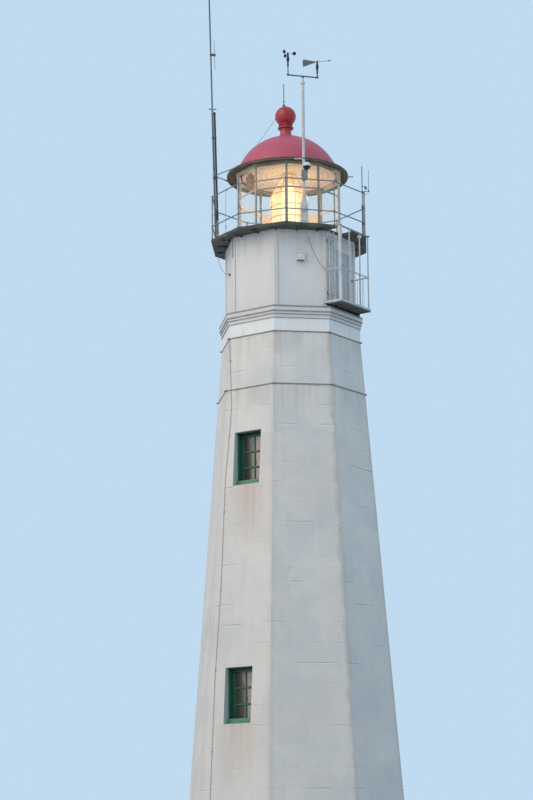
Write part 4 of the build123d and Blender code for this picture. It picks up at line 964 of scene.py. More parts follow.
def wall_reach(level):
    """Axis to the middle of a face of the shaft at a level."""
    return (FOOT - (FOOT - HEAD) * level / shaft_top) * EIGHTH


deck_low, deck_top = levels("gallery_deck")
lantern_top = levels("lantern_head")[1]
frame_joint = {joint["name"]: joint["pos_m"] for joint in frame["joints"]}
print("deck at", round(deck_top, 3), "lantern head at", round(lantern_top, 3))

# %% [markdown]
# ## Hoop lugs
# The hoops are flat iron bars, one to a face, drawn up at the corners. At each corner two lugs
# stand out from the wall and a long bolt pulls them together. They are small, but they break the
# plain line of the hoop, and the rust that runs down the corners starts at them.

# %% Hoop lugs
hoop_levels = [shaft_top - 0.016, levels("tie_bands")[0] + 0.016]
for level in hoop_levels:
    for corner in range(8):
        azimuth = 22.5 + 45 * corner
        reach = wall_reach(level) / EIGHTH + 0.012
        out, side = facing(azimuth)
        for way in (-1, 1):
            foot = at(azimuth, reach - 0.035, way * 0.032, level)
            bar(foot, foot + out * 0.070, side, 0.010, 0.030, 0.002)
        pipe([at(azimuth, reach + 0.018, along, level) for along in (-0.060, 0.060)], 0.009, 8)
        for way in (-1, 1):
            bolt(at(azimuth, reach + 0.018, way * 0.037, level), side * way, 0.022)
done("hoop_lugs", "hoop_iron")

# %% [markdown]
# ## Window putty and beads
# Each pane is bedded in putty that is cut to a slope and painted with the sash. The slope catches
# the light along the lower edge of every pane. A drip groove's lip hangs below the nose of the sill,
# an apron board faces the sill, and two hinges show on the frame. The panes' places are worked out
# from the window's own sizes.

# %% Window putty and beads
PANE_WIDE, PANE_HIGH = 0.730 / 2, 1.350 / 3  # middle to middle of the glazing bars
BAR = 0.036
MIDDLE = 0.77  # from the sill up to the middle of a window
RECESS, SASH = 0.185, 0.175  # from the wall in to the box's front, and from there to the sash
for azimuth in (-45, 135):
    out, side = facing(azimuth)
    for sill in SILLS:
        middle = sill + MIDDLE
        glass = wall_reach(middle) - RECESS - SASH - 0.018
        for column in (-0.5, 0.5):
            for row in (-1, 0, 1):
                centre = at(azimuth, glass, column * PANE_WIDE, middle + row * PANE_HIGH)
                wide, high = PANE_WIDE / 2 - BAR / 2, PANE_HIGH / 2 - BAR / 2
                for way in (-1, 1):
                    edge = centre + side * way * (wide - 0.004)
                    low, top = edge - up * high, edge + up * high
                    bar(low, top, side + out * way, 0.014, 0.007)
                    edge = centre + up * (way * (high - 0.004))
                    beam(edge, side * wide, up + out * way, 0.014, 0.007)
        front = wall_reach(middle) - RECESS
        for way in (-1, 1):
            for level in (middle - 0.50, middle + 0.50):
                spot = at(azimuth, front - SASH + 0.004, way * 0.395, level)
                beam(spot, up * 0.05, side, 0.060, 0.008, 0.002)
                pin = at(azimuth, front - 0.162, way * 0.418, level)
                pipe([pin - up * 0.052, pin + up * 0.052], 0.008, 10)
        nose = at(azimuth, front + 0.086, 0.0, sill + 0.004)
        beam(nose, side * 0.46, out, 0.022, 0.016, 0.003)
        apron = at(azimuth, front + 0.052, 0.0, sill + 0.075)
        beam(apron, side * 0.435, out, 0.030, 0.150, 0.005)
        handle = at(azimuth, front - 0.165, 0.022, middle - 0.12)
        bar(handle, handle + up * 0.10, side, 0.016, 0.010, 0.003)
        turned(handle, [(0.012, -0.006), (0.012, 0.010), (0.007, 0.016)], 12, out)
done("window_fittings", "green_painted_pine")

# %% [markdown]
# ## Window box boards
# The box of each window is lined with tongued boards. Their joints are narrow dark grooves between
# raised faces, and a moulded bead runs round the front edge of the box, where the paint is thickest.

# %% Window box boards
for azimuth in (-45, 135):
    out, side = facing(azimuth)
    for sill in SILLS:
        middle = sill + MIDDLE
        front = wall_reach(middle) - RECESS
        for way in (-1, 1):
            low = at(azimuth, front + 0.004, way * 0.4435, sill + 0.064)
            bar(low, low + up * 1.476, side, 0.026, 0.014, 0.004)
        head = at(azimuth, front + 0.004, 0.0, sill + 1.5265)
        beam(head, side * 0.43, out, 0.014, 0.026, 0.004)
        for number in range(3):
            board = at(azimuth, front - 0.030 - number * 0.050, 0.0, sill + 1.5035)
            beam(board, side * 0.42, out, 0.044, 0.006, 0.0015)
            for way in (-1, 1):
                low = at(azimuth, front - 0.030 - number * 0.050, way * 0.4235, sill + 0.155)
                bar(low, low + up * 1.34, out, 0.044, 0.006, 0.0015)
done("window_box_boards", "green_painted_pine")

# %% [markdown]
# ## Entrance door
# The entrance stands on a side that the picture doesn't show, so it gets a plain old ledged leaf:
# six raised panels, three strap hinges, a rim lock plate and a knob. All of it stands on the solid
# leaf, which stays underneath.

# %% Entrance door
DOOR_AZIMUTH = 45
out, side = facing(DOOR_AZIMUTH)
leaf_face = max(vertex.co.dot(out) for vertex in nodes["entrance_door"].data.vertices)
leaf_low = levels("entrance_door")[0]
print("door leaf stands", round(leaf_face, 3), "m out, from", round(leaf_low, 3))
for column in (-0.5, 0.5):
    for row in (0, 1, 2):
        centre = at(DOOR_AZIMUTH, leaf_face, column * 0.38, leaf_low + 0.38 + row * 0.63)
        beam(centre, up * 0.24, side, 0.28, 0.022, 0.008)
for level in (leaf_low + 0.08, leaf_low + 1.01, leaf_low + 1.93):
    start_point = at(DOOR_AZIMUTH, leaf_face + 0.002, -0.385, level)
    bar(start_point, start_point + side * 0.52, up, 0.045, 0.008, 0.003)
    for along in (0.06, 0.20, 0.34, 0.46):
        bolt(start_point + side * along + out * 0.003, out, 0.020)
    pin = at(DOOR_AZIMUTH, leaf_face + 0.006, -0.390, level)
    pipe([pin - up * 0.045, pin + up * 0.045], 0.012, 12)
done("entrance_door_boards", "varnished_oak_door")

lock = at(DOOR_AZIMUTH, leaf_face, 0.355, leaf_low + 0.96)
beam(lock, up * 0.09, side, 0.07, 0.024, 0.003)
knob = [
    (0.026, 0.0), (0.026, 0.006), (0.011, 0.012), (0.010, 0.034),
    (0.024, 0.046), (0.029, 0.058), (0.022, 0.070), (0.0, 0.074),
]
turned(lock + up * 0.045 + out * 0.012, knob, 24, out)
keyhole = [(0.012, 0.0), (0.012, 0.005), (0.004, 0.006), (0.004, 0.002), (0.0, 0.002)]
turned(lock - up * 0.045 + out * 0.012, keyhole, 16, out)
done("entrance_door_lock", "aged_copper")

# %% [markdown]
# ## Watch-room door
# A flush steel door leads from the watch room to the balcony. Its leaf is stiffened by a frame and
# two cross rails welded on, with a lever handle, three hinges and a small round light.

# %% Watch-room door
BALCONY, BALCONY_DOOR = 45, 0.13  # the way that face looks in degrees, and the door's shift on it
out, side = facing(BALCONY)
door_low = levels("watch_room_door")[0]
WATCH_REACH = 1.97  # axis to corner of the watch room
watch_flat = WATCH_REACH * EIGHTH
face = watch_flat - 0.06
for along, wide, low, high in (
    (-0.315, 0.06, 0.01, 1.69), (0.315, 0.06, 0.01, 1.69),
    (0.0, 0.57, 0.01, 0.08), (0.0, 0.57, 0.84, 0.91), (0.0, 0.57, 1.62, 1.69),
):
    spot = at(BALCONY, face, BALCONY_DOOR + along, 0)
    bar(spot + up * (door_low + low), spot + up * (door_low + high), side, wide, 0.016, 0.003)
for level in (0.22, 0.86, 1.48):
    pin = at(BALCONY, face + 0.012, BALCONY_DOOR + 0.345, door_low + level)
    pipe([pin - up * 0.05, pin + up * 0.05], 0.011, 12)
light = at(BALCONY, face - 0.002, BALCONY_DOOR, door_low + 1.28)
ring = [(0.135, 0.0), (0.135, 0.016), (0.122, 0.024), (0.106, 0.020), (0.106, 0.006), (0.0, 0.006)]
turned(light, ring, 40, out)
for step in range(8):
    turn = step * math.pi / 4
    spot = light + (side * math.cos(turn) + up * math.sin(turn)) * 0.121 + out * 0.022
    bolt(spot, out, 0.012)
lever = at(BALCONY, face + 0.045, BALCONY_DOOR - 0.27, door_low + 0.98)
turned(lever - out * 0.045, [(0.030, 0.0), (0.030, 0.008), (0.012, 0.014), (0.012, 0.045)], 20, out)
pipe([lever, lever + side * 0.03 + out * 0.004, lever + side * 0.13], 0.009, 10)
done("watch_room_door_frame", "grey_door_paint")

# %% [markdown]
# ## Deck lip and joists
# The gallery floor is a steel plate on brackets. A flat bar stands on its rim to keep tools and
# water in; it is dented and thick with moss, so its top edge is not a straight line. Underneath,
# channel joists run out from the wall to the rim, two to a side.

# %% Deck lip and joists
DECK_CORNER, DECK_REACH = -12, 2.38  # the way its first corner looks, and axis to corner
SLICE = math.radians(18)  # half of the angle that one of ten sides takes
deck_flat = DECK_REACH * TENTH
lip_steps = 28
for number in range(10):
    azimuth = DECK_CORNER + 36 * (number + 0.5)
    half = DECK_REACH * math.sin(SLICE)
    first = 0.03 if number == 1 else -half  # the hatch takes half of the second side
    rows = []
    for step in range(lip_steps + 1):
        along = first + (half - first) * step / lip_steps
        top = 0.012 + 0.005 * math.sin(along * 7 + number) + dice.uniform(-0.004, 0.004)
        low = -0.002 - 0.002 * math.sin(along * 9 + 2 * number) - dice.uniform(0.0, 0.004)
        bulge = dice.uniform(0.0, 0.004)
        inner = deck_flat - 0.022 - 0.022 * abs(along) / half * math.tan(SLICE)
        section = (
            (deck_flat - 0.001, 1.0, deck_low + low),
            (deck_flat + 0.004 + bulge, 1.0, deck_low + 0.03),
            (deck_flat + 0.004, 1.0, deck_top + top - 0.004),
            (deck_flat - 0.006, 0.996, deck_top + top),
            (inner, 0.985, deck_top + top - 0.002),
            (inner, 0.985, deck_top - 0.001),
        )
        row = [at(azimuth, reach, along * part, level) for reach, part, level in section]
        rows.append([bench.verts.new(point) for point in row])
    for near, far in zip(rows, rows[1:]):
        for step in range(6):
            bench.faces.new((near[step - 1], near[step], far[step], far[step - 1]))
    bench.faces.new(rows[0])
    bench.faces.new(rows[-1][::-1])
done("deck_lip", "mossy_deck_paint")

for number in range(20):
    azimuth = DECK_CORNER + 9 + 18 * number
    if 25 < azimuth < 62:  # the hatch is there
        continue
    side = facing(azimuth)[1]
    away = abs((azimuth - 22.5) % 45 - 22.5)
    inner = watch_flat / math.cos(math.radians(away)) + 0.002
    outer = deck_flat / math.cos(math.radians(9)) - 0.13
    level = deck_low - 0.022
    for wide, deep, shift, rise in (
        (0.008, 0.044, 0.018, 0.0), (0.045, 0.008, 0.0, -0.019), (0.045, 0.008, 0.0, 0.018),
    ):
        first, last = at(azimuth, inner, shift, level + rise), at(azimuth, outer, shift, level + rise)
        bar(first, last, side, wide, deep, 0.0015)
done("deck_joists", "mossy_deck_paint")

# %% [markdown]
# ## Railing feet and joints
# Each post of the gallery stands on a square foot with four bolts and a small gusset on either side,
# and each rail passes through a socket on the post. Those sockets are the knuckles seen along the
# rails against the sky.

# %% Railing feet and joints
RAIL_REACH = DECK_REACH - 0.03
for number in range(10):
    azimuth = DECK_CORNER + 36 * number
    out, side = facing(azimuth)
    foot = at(azimuth, RAIL_REACH - 0.014, 0.0, deck_top)
    bar(foot, foot + up * 0.010, side, 0.095, 0.075, 0.002)
    for x, y in ((-0.036, -0.028), (0.036, -0.028), (-0.036, 0.026), (0.036, 0.026)):
        bolt(foot + side * x + out * y + up * 0.009, up, 0.016)
    for level in (0.41, 1.32):
        spot = at(azimuth, RAIL_REACH, 0.0, deck_top + level)
        rise = 0.030 if level > 1 else 0.034
        turned(spot - up * rise, collar(0.024, 0.027, rise * 2, 0.006), 20)
        for way in (-1, 1):
            run = (side * way - out * math.tan(SLICE)).normalized()
            turned(spot + run * 0.020, [(0.0225, 0.0), (0.0225, 0.030), (0.019, 0.034)], 18, run)
    if number % 2 == 0:
        cap = at(azimuth, RAIL_REACH, 0.0, deck_top + 1.35)
        turned(cap, [(0.024, 0.0), (0.022, 0.008), (0.010, 0.013), (0.0, 0.014)], 16)
done("railing_feet_and_sockets", "galvanised_rail")

# %% [markdown]
# ## Lantern glazing beads
# The panes are held from inside by flat beads screwed to the mullions. On the outside each mullion
# carries a cover strip with a row of round-headed screws, and the curb has a sloping water bar.

# %% Lantern glazing beads
LANTERN_REACH = 1.56
lantern_flat = LANTERN_REACH * TENTH
glass_foot, glass_head = deck_top + 0.15, lantern_top - 0.06
for number in range(10):
    azimuth = DECK_CORNER + 36 * number
    out, side = facing(azimuth)
    strip = at(azimuth, LANTERN_REACH + 0.0265, 0.0, 0.0)
    bar(strip + up * glass_foot, strip + up * glass_head, side, 0.034, 0.006, 0.0015)
    for step in range(9):
        spot = strip + out * 0.002 + up * (glass_foot + 0.10 + step * 0.22)
        turned(spot, [(0.008, 0.0), (0.007, 0.003), (0.0, 0.005)], 10, out)
    middle = azimuth + 18
    out, side = facing(middle)
    half = LANTERN_REACH * math.sin(SLICE) - 0.03
    for level, drop in ((glass_foot + 0.008, 0.02), (glass_head - 0.008, -0.02)):
        for reach in (lantern_flat - 0.012, lantern_flat + 0.012):
            edge = at(middle, reach, 0.0, level)
            beam(edge, side * half, out, 0.012, 0.016, 0.002)
    for way in (-1, 1):
        for reach in (lantern_flat - 0.012, lantern_flat + 0.012):
            edge = at(middle, reach, way * (half + 0.010), 0.0)
            bar(edge + up * glass_foot, edge + up * glass_head, side, 0.016, 0.012, 0.002)
    water = at(middle, lantern_flat + 0.060, 0.0, deck_top + 0.147)
    beam(water, side * (half + 0.04), out, 0.030, 0.012, 0.003)
done("lantern_beads", "lantern_bar_paint")

# %% [markdown]
# ## Blank panels at the back
# Behind the lens, on the land side, the lower panes are backed by cream boards, and the inside of
# the bars there is painted cream too. The lamp lights them, so from the front they glow behind the
# clear panes.

# %% Blank panels at the back
transom = deck_top + 1.325
for number in range(2, 8):
    middle = DECK_CORNER + 36 * (number + 0.5)
    out, side = facing(middle)
    half = LANTERN_REACH * math.sin(SLICE) - 0.036
    edge = at(middle, lantern_flat - 0.030, 0.0, transom)
    beam(edge, side * half, out, 0.020, 0.085, 0.004)
    if number in (4, 5):
        board = at(middle, lantern_flat - 0.032, 0.0, 0.0)
        bar(board + up * (glass_foot + 0.01), board + up * (transom - 0.04), side, half * 2, 0.014, 0.004)
        for level in (0.35, 0.75, 1.10):
            rib = at(middle, lantern_flat - 0.044, 0.0, deck_top + level)
            beam(rib, side * half, out, 0.014, 0.050, 0.004)
done("lantern_back_boards", "lamplit_cream_paint")

# %% [markdown]
# ## Lantern ceiling
# Seen from the ground, most of the upper glass shows the ceiling: sheet metal in rings, with a
# raised joint between one ring and the next, painted cream and lit peach by the lamp. It is turned
# as one dish with a joint every 170 mm and twelve low ribs across them.

# %% Lantern ceiling
ceiling_low = lantern_top - 0.012
profile = [(0.0, 0.115)]
joint = 0.17
while joint < 1.36:
    rise = 0.115 * (1 - (joint / 1.40) ** 2)
    profile += [(joint - 0.016, rise + 0.001), (joint - 0.012, rise - 0.014)]
    profile += [(joint + 0.012, rise - 0.014), (joint + 0.016, rise)]
    joint += 0.17
profile += [(1.40, 0.0), (1.40, 0.012), (1.30, 0.030), (0.0, 0.132)]
turned(up * ceiling_low, profile, 80)
for step in range(12):
    azimuth = step * 30 + 6
    side = facing(azimuth)[1]
    inner, outer = at(azimuth, 0.10, 0.0, ceiling_low + 0.108), at(azimuth, 1.39, 0.0, ceiling_low - 0.004)
    middle = at(azimuth, 0.80, 0.0, ceiling_low + 0.115 * (1 - (0.80 / 1.40) ** 2) - 0.004)
    bar(inner, middle, side, 0.026, 0.016, 0.003)
    bar(middle, outer, side, 0.026, 0.016, 0.003)
done("lantern_ceiling", "lamplit_ceiling_paint")

# %% [markdown]
# ## Lens
# A lighthouse lens is a stack of glass rings in a brass cage. Every ring is a prism, so the outline
# is a row of small teeth: belts of shallow teeth on the drum and steeper ones over the lamp. The
# stack is turned from one toothed profile that keeps to the solid's radius, and the cage is
# drawn over it. Inside stands the lit mantle, which shows through the glass as a bright core, and a
# point lamp that only the things round it see.

# %% Lens
lens_low, lens_high = levels("lens")
LENS_RADIUS, BARREL, CONE = 0.56, 1.08, 0.64
profile = [(0.0, 0.0), (LENS_RADIUS - 0.03, 0.0)]
teeth = 24
for tooth in range(teeth):
    low, high = BARREL * tooth / teeth, BARREL * (tooth + 1) / teeth
    way = 1 if tooth >= teeth / 2 else -1
    near, far = (LENS_RADIUS - 0.003, LENS_RADIUS - 0.024)[::way]
    profile += [(near, low + 0.003), (far, high - 0.003)]
prisms = 12
for tooth in range(prisms):
    low, high = tooth / prisms, (tooth + 1) / prisms
    wide, narrow = [LENS_RADIUS - 0.02 - (LENS_RADIUS - 0.24) * part for part in (low, high)]
    profile += [(wide + 0.012, BARREL + CONE * low + 0.004), (narrow + 0.006, BARREL + CONE * high - 0.010)]
profile += [(0.20, BARREL + CONE), (0.0, BARREL + CONE + 0.01)]
turned(up * lens_low, profile, 72)
glass_rings = done("lens_glass_rings", "lit_lens_glass", crease=12)
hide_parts("lens")

for step in range(8):
    azimuth = 360 / 8 * step + 10
    side = facing(azimuth)[1]
    low = at(azimuth, LENS_RADIUS - 0.006, 0.0, lens_low)
    shoulder = at(azimuth, LENS_RADIUS - 0.006, 0.0, lens_low + BARREL)
    crown = at(azimuth, 0.225, 0.0, lens_low + BARREL + CONE)
    bar(low, shoulder, side, 0.016, 0.018, 0.002)
    bar(shoulder, crown, side, 0.016, 0.018, 0.002)
for level, reach in ((0.0, 0.552), (0.36, 0.556), (0.72, 0.556), (BARREL, 0.552), (BARREL + CONE, 0.225)):
    ring = [at(step * 6, reach, 0.0, lens_low + level) for step in range(60)]
    pipe(ring, 0.013, 8, closed=True)
cap = [(0.0, 0.0), (0.215, 0.0), (0.215, 0.018), (0.13, 0.034), (0.09, 0.056), (0.03, 0.058), (0.0, 0.060)]
turned(up * (lens_high - 0.06), cap, 40)
cage_piece = done("lens_brass_cage", "lens_brass")

mantle = [
    (0.0, 0.10), (0.11, 0.12), (0.16, 0.30), (0.17, 0.60),
    (0.16, 0.95), (0.11, 1.20), (0.05, 1.32), (0.0, 1.34),
]
turned(up * lens_low, mantle, 32)
mantle_piece = done("lamp_mantle", "lit_mantle")
for piece in (glass_rings, mantle_piece, cage_piece):
    piece.visible_shadow = False
glow = bpy.data.lights.new("lamp glow", "POINT")
glow.color = colour("#FFEBD6")[:3]
glow.energy = 21
glow.shadow_soft_size = 0.25
holder = bpy.data.objects.new("lamp glow", glow)
holder.location = (0, 0, 20.25)
holder.visible_camera = holder.visible_glossy = holder.visible_transmission = False
scene.collection.objects.link(holder)

# %% [markdown]
# ## Spare lamp under the ceiling
# On the left, inside the glass, a copper-coloured thing hangs from the ceiling. It is drawn as the
# spare lamp that such lanterns keep: a ventilated hood over a tapered glass body in a cage.

# %% Spare lamp under the ceiling
spare = at(-88, 1.16, 0.10, ceiling_low + 0.03)
body = [
    (0.0, -0.56), (0.045, -0.56), (0.060, -0.54), (0.060, -0.50), (0.105, -0.47), (0.125, -0.40),
    (0.150, -0.22), (0.165, -0.16), (0.165, -0.13), (0.120, -0.10), (0.105, -0.06), (0.060, -0.04),
    (0.030, -0.01), (0.0, 0.0),
]
turned(spare, body, 28)
for step in range(6):
    turn = step * math.pi / 3
    way = Vector((math.cos(turn), math.sin(turn), 0))
    pipe([spare + way * 0.112 - up * 0.47, spare + way * 0.160 - up * 0.16], 0.005, 6)
pipe([spare - up * 0.01, spare + up * 0.05], 0.012, 10)
done("spare_lamp", "lamplit_copper")

# %% [markdown]
# ## Roof sheets
# The dome is made of twelve curved sheets. Where two meet, the edges are folded over each other into
# a low seam, and a half-round bead covers the joint at the foot. The brim has a rolled lip and the
# same seams, and its rivets stand in pairs beside them.

# %% Roof sheets
INSTRUMENTS = -9.6  # the way the camera and the roof face, degrees
ARM, VANE = 6.7, -21.6  # the ways the cross-arm and the resting vane face
ROOF = at(INSTRUMENTS, 0.0, -0.040, 0.0)
BALL = at(INSTRUMENTS, 0.0, -0.080, 0.0)
ROD = at(INSTRUMENTS, 0.0, -0.125, 0.0)
dome_foot, dome_top = levels("roof_dome")
DOME = 1.51
dome_ball = (DOME ** 2 + (dome_top - dome_foot) ** 2) / (2 * (dome_top - dome_foot))
dome_heart = ROOF + up * (dome_top - dome_ball)
low_tilt = math.asin((dome_foot + 0.02 - dome_heart.z) / dome_ball)
high_tilt = math.acos(0.27 / dome_ball)
for step in range(12):
    azimuth = 30 * step + 11
    out, side = facing(azimuth)
    arc = []
    for part in range(19):
        tilt = low_tilt + (high_tilt - low_tilt) * part / 18
        arc.append(out * math.cos(tilt) + up * math.sin(tilt))
    for near, far in zip(arc, arc[1:]):
        low, high = [dome_heart + point * (dome_ball + 0.001) for point in (near, far)]
        bar(low, high, side, 0.016, 0.007)
foot = [ROOF + at(step * 5, DOME + 0.003, 0.0, dome_foot + 0.012) for step in range(72)]
pipe(foot, 0.014, 8, closed=True)
for step in range(72):
    out = facing(step * 5 + 2)[0]
    bolt(ROOF + at(step * 5 + 2, DOME + 0.014, 0.0, dome_foot + 0.014), out, 0.014)
done("dome_seams", "chalked_red_paint")

LIP = 1.80
lip_low, brim_top = levels("roof_brim")
for low, radius in ((lip_low + 0.004, 0.011), (lip_low + 0.064, 0.013)):
    pipe([ROOF + at(step * 4, LIP - 0.004, 0.0, low) for step in range(90)], radius, 10, closed=True)
for step in range(24):
    azimuth = 15 * step + 4
    out, side = facing(azimuth)
    inner = ROOF + at(azimuth, 1.685, 0.0, lantern_top - 0.003)
    outer = ROOF + at(azimuth, LIP - 0.008, 0.0, lip_low - 0.003)
    bar(inner, outer, side, 0.022, 0.006, 0.001)
    for part in (0.2, 0.5, 0.8):
        for way in (-0.022, 0.022):
            turned(inner.lerp(outer, part) + side * way, [(0.006, 0.002), (0.005, -0.003), (0.0, -0.005)], 8)
    upper = ROOF + at(azimuth, LIP - 0.010, 0.0, lip_low + 0.072)
    top = ROOF + at(azimuth, DOME + 0.018, 0.0, brim_top + 0.001)
    bar(upper, top, side, 0.018, 0.008, 0.001)
    spot = ROOF + at(azimuth, LIP + 0.001, 0.0, lip_low + 0.034)
    bolt(spot, out, 0.016)
done("brim_seams", "brown_brim_paint")

# %% [markdown]
# ## Ball, collars and lightning rod
# The ventilator ball is two spun halves with a joint band round its middle. The neck is held to the
# dome by a ring of bolts, and between the collars short struts leave the gap that the hot air
# escapes by. A clamp on the rod takes the conductor, a stiff round bar that comes down to the dome.

# %% Ball, collars and lightning rod
ball_top = levels("ball_ventilator")[1]
BALL_RADIUS = 0.312
ball_heart = BALL + up * (ball_top - BALL_RADIUS)
inner, outer = BALL_RADIUS - 0.004, BALL_RADIUS + 0.004
band = [(inner, -0.014), (outer, -0.010), (outer, 0.010), (inner, 0.014)]
turned(ball_heart, band, 64)
for step in range(10):
    azimuth = 36 * step + 8
    lean = (at(azimuth, 0.25, 0.0, 0.0) + up).normalized()
    bolt(BALL + at(azimuth, 0.246, 0.0, dome_top + 0.012), lean, 0.018)
neck_foot = [(0.272, -0.020), (0.292, -0.014), (0.288, -0.004), (0.262, 0.004)]
turned(BALL + up * dome_top, neck_foot, 56)
collar_low = ball_top - 2 * BALL_RADIUS - 0.03
for step in range(12):
    spot = BALL + at(30 * step, 0.190, 0.0, 0.0)
    pipe([spot + up * (collar_low - 0.035), spot + up * (collar_low + 0.040)], 0.009, 8)
done("ventilator_bands", "chalked_red_paint")

rod_low = levels("lightning_rod")[0]
for level in (0.010, 0.150):
    turned(ROD + up * (rod_low + level), collar(0.014, 0.022, 0.030, 0.004), 16)
side = facing(INSTRUMENTS)[1]
joint = ROD + up * (rod_low + 0.165)
bolt(joint + side * 0.020, side, 0.018)
tip = levels("lightning_rod")[1]
turned(ROD + up * (tip - 0.075), [(0.0125, 0.0), (0.0135, 0.010), (0.0135, 0.018), (0.0125, 0.020)], 16)
done("rod_clamps", "rod_iron")

drop = [ball_heart + at(-99.6, BALL_RADIUS * 0.975, 0.0, -BALL_RADIUS * 0.25)]
for azimuth, tilt in ((-82, 54), (-92, 48), (-104, 40), (-114, 30), (-120, 20)):
    turn = math.radians(tilt)
    run = at(azimuth, math.cos(turn), 0.0, math.sin(turn))
    drop.append(dome_heart + run * (dome_ball + 0.010))
for near, far in zip(drop, drop[1:]):
    pipe([near, far], 0.006, 8)
for spot in drop[1:]:
    run = (spot - dome_heart).normalized()
    bar(spot - run * 0.012, spot + run * 0.006, side, 0.030, 0.018, 0.002)
bolt(drop[0], (drop[0] - ball_heart).normalized(), 0.022)
done("roof_conductor", "galvanised_rail")

# %% [markdown]
# ## Instrument mast
# The mast is bolted together from lengths. Its foot is a square box on a plate with gussets, the
# neck is clamped in a split collar, and cables climb the pole under steel straps. A junction box with
# a screwed lid hangs in front of it, and the cross-arm is held by a tee with two U-bolts.

# %% Instrument mast
MAST_AZIMUTH, MAST_REACH = 2.3, 2.11
mast = at(MAST_AZIMUTH, MAST_REACH, 0.0, 0.0)
arm_level = levels("instrument_arm")[0] + 0.02
ARM_HALF = 0.445  # from the mast to the upright at either end
arm_out, arm_side = facing(ARM)
eye_out, eye_side = facing(INSTRUMENTS)
vane_out, vane_side = facing(VANE)
mast_out, mast_side = facing(MAST_AZIMUTH)
plate = mast + up * deck_top
bar(plate, plate + up * 0.014, mast_side, 0.30, 0.30, 0.004)
for x in (-1, 1):
    for y in (-1, 1):
        bolt(plate + mast_side * x * 0.125 + mast_out * y * 0.125 + up * 0.013, up, 0.026)
    for way, across in ((mast_side, mast_out), (mast_out, mast_side)):
        low, high = plate + way * x * 0.088 + up * 0.012, plate + way * x * 0.094 + up * 0.13
        bar(low, high, across, 0.010, 0.055, 0.001)
for level in (0.18, 0.42):
    door = mast + mast_out * 0.0905 + up * (deck_top + level)
    bar(door, door + up * 0.19, mast_side, 0.13, 0.006, 0.002)
    for x, z in ((-0.055, 0.012), (0.055, 0.012), (-0.055, 0.178), (0.055, 0.178)):
        screw = door + mast_side * x + up * z + mast_out * 0.003
        turned(screw, [(0.006, 0.0), (0.005, 0.003), (0.0, 0.004)], 10, mast_out)
foot_top = deck_top + 0.87
box_low = foot_top + 0.46
box_high = box_low + 0.26
clamp = [(0.052, 0.0), (0.052, 0.014), (0.034, 0.020), (0.034, 0.055), (0.026, 0.058)]
turned(mast + up * (foot_top - 0.004), clamp, 28)
turned(mast + up * (box_low - 0.035), [(0.026, 0.0), (0.036, 0.004), (0.040, 0.036)], 28)
for level, reach in (
    (box_low, 0.071), (box_low + 0.118, 0.071), (box_low + 0.125, 0.051), (box_high - 0.012, 0.051),
):
    band = [(reach, -0.004), (reach + 0.004, -0.001), (reach + 0.004, 0.006), (reach, 0.009)]
    turned(mast + up * level, band, 36)
for step in range(6):
    way = at(MAST_AZIMUTH + 60 * step, 1.0, 0.0, 0.0)
    bolt(mast + way * 0.060 + up * (box_low + 0.125), up, 0.014)
pole_top = box_high + 2.72
for level in (0.16, 0.60, 1.05, 1.50, 1.95, 2.40):
    strap = mast + up * (box_high + level)
    turned(strap, collar(0.0425, 0.0455, 0.020, 0.002), 28)
    ear = strap + up * 0.003
    bar(ear + mast_out * 0.044, ear + mast_out * 0.062, mast_side, 0.014, 0.014, 0.002)
for step in range(6):
    way = at(MAST_AZIMUTH + 60 * step + 30, 1.0, 0.0, 0.0)
    bolt(mast + way * 0.053 + up * (pole_top + 0.001), up, 0.014)
done("mast_fittings", "white_mast_paint")

for way in (-1, 1):
    spot = mast + arm_side * way * 0.035 + up * arm_level
    pipe(circle(spot, arm_out * 0.0245, up * 0.0245, 16), 0.0045, 8, closed=True)
turned(mast + up * (arm_level - 0.060), collar(0.021, 0.029, 0.040, 0.004), 24)
for way in (-1, 1):
    tee = mast + arm_side * way * ARM_HALF + up * arm_level
    turned(tee + arm_side * way * -0.034, collar(0.0205, 0.026, 0.068, 0.003), 24, arm_side * way)
    turned(tee + up * 0.016, [(0.016, 0.0), (0.023, 0.003), (0.023, 0.040), (0.0165, 0.044)], 24)
    bolt(tee + arm_out * 0.026, arm_out, 0.016)
for x in (0.045, 0.225):
    spot = mast - eye_side * x + up * (box_high + 0.38)
    bolt(spot + up * 0.020, up, 0.018)
spot = mast + up * (box_high + 0.372)
turned(spot, collar(0.0425, 0.050, 0.036, 0.003), 28)
done("arm_fittings", "weathered_zinc")

for low, high, reach in (
    (box_low + 0.012, box_low + 0.112, 0.0725), (box_low + 0.140, box_high - 0.020, 0.0525),
):
    turned(mast + up * low, collar(reach - 0.004, reach, high - low, 0.003), 36)
lid = mast + mast_out * 0.088 + up * (box_low - 0.010)
bar(lid, lid + up * 0.280, mast_side, 0.180, 0.060, 0.008)
cover = lid + mast_out * 0.032
bar(cover + up * 0.012, cover + up * 0.268, mast_side, 0.164, 0.008, 0.003)
for way in (-1, 1):
    for level in (0.024, 0.256):
        bolt(lid + mast_out * 0.036 + mast_side * way * 0.070 + up * level, mast_out, 0.010)
done("junction_box_cover", "galvanised_rail")

# %% [markdown]
# ## Sensors
# Each sensor is a turned grey body with cooling rings, a cap nut at the top and a threaded gland at
# the foot where its lead goes into the upright. The rings are only a few millimetres proud.

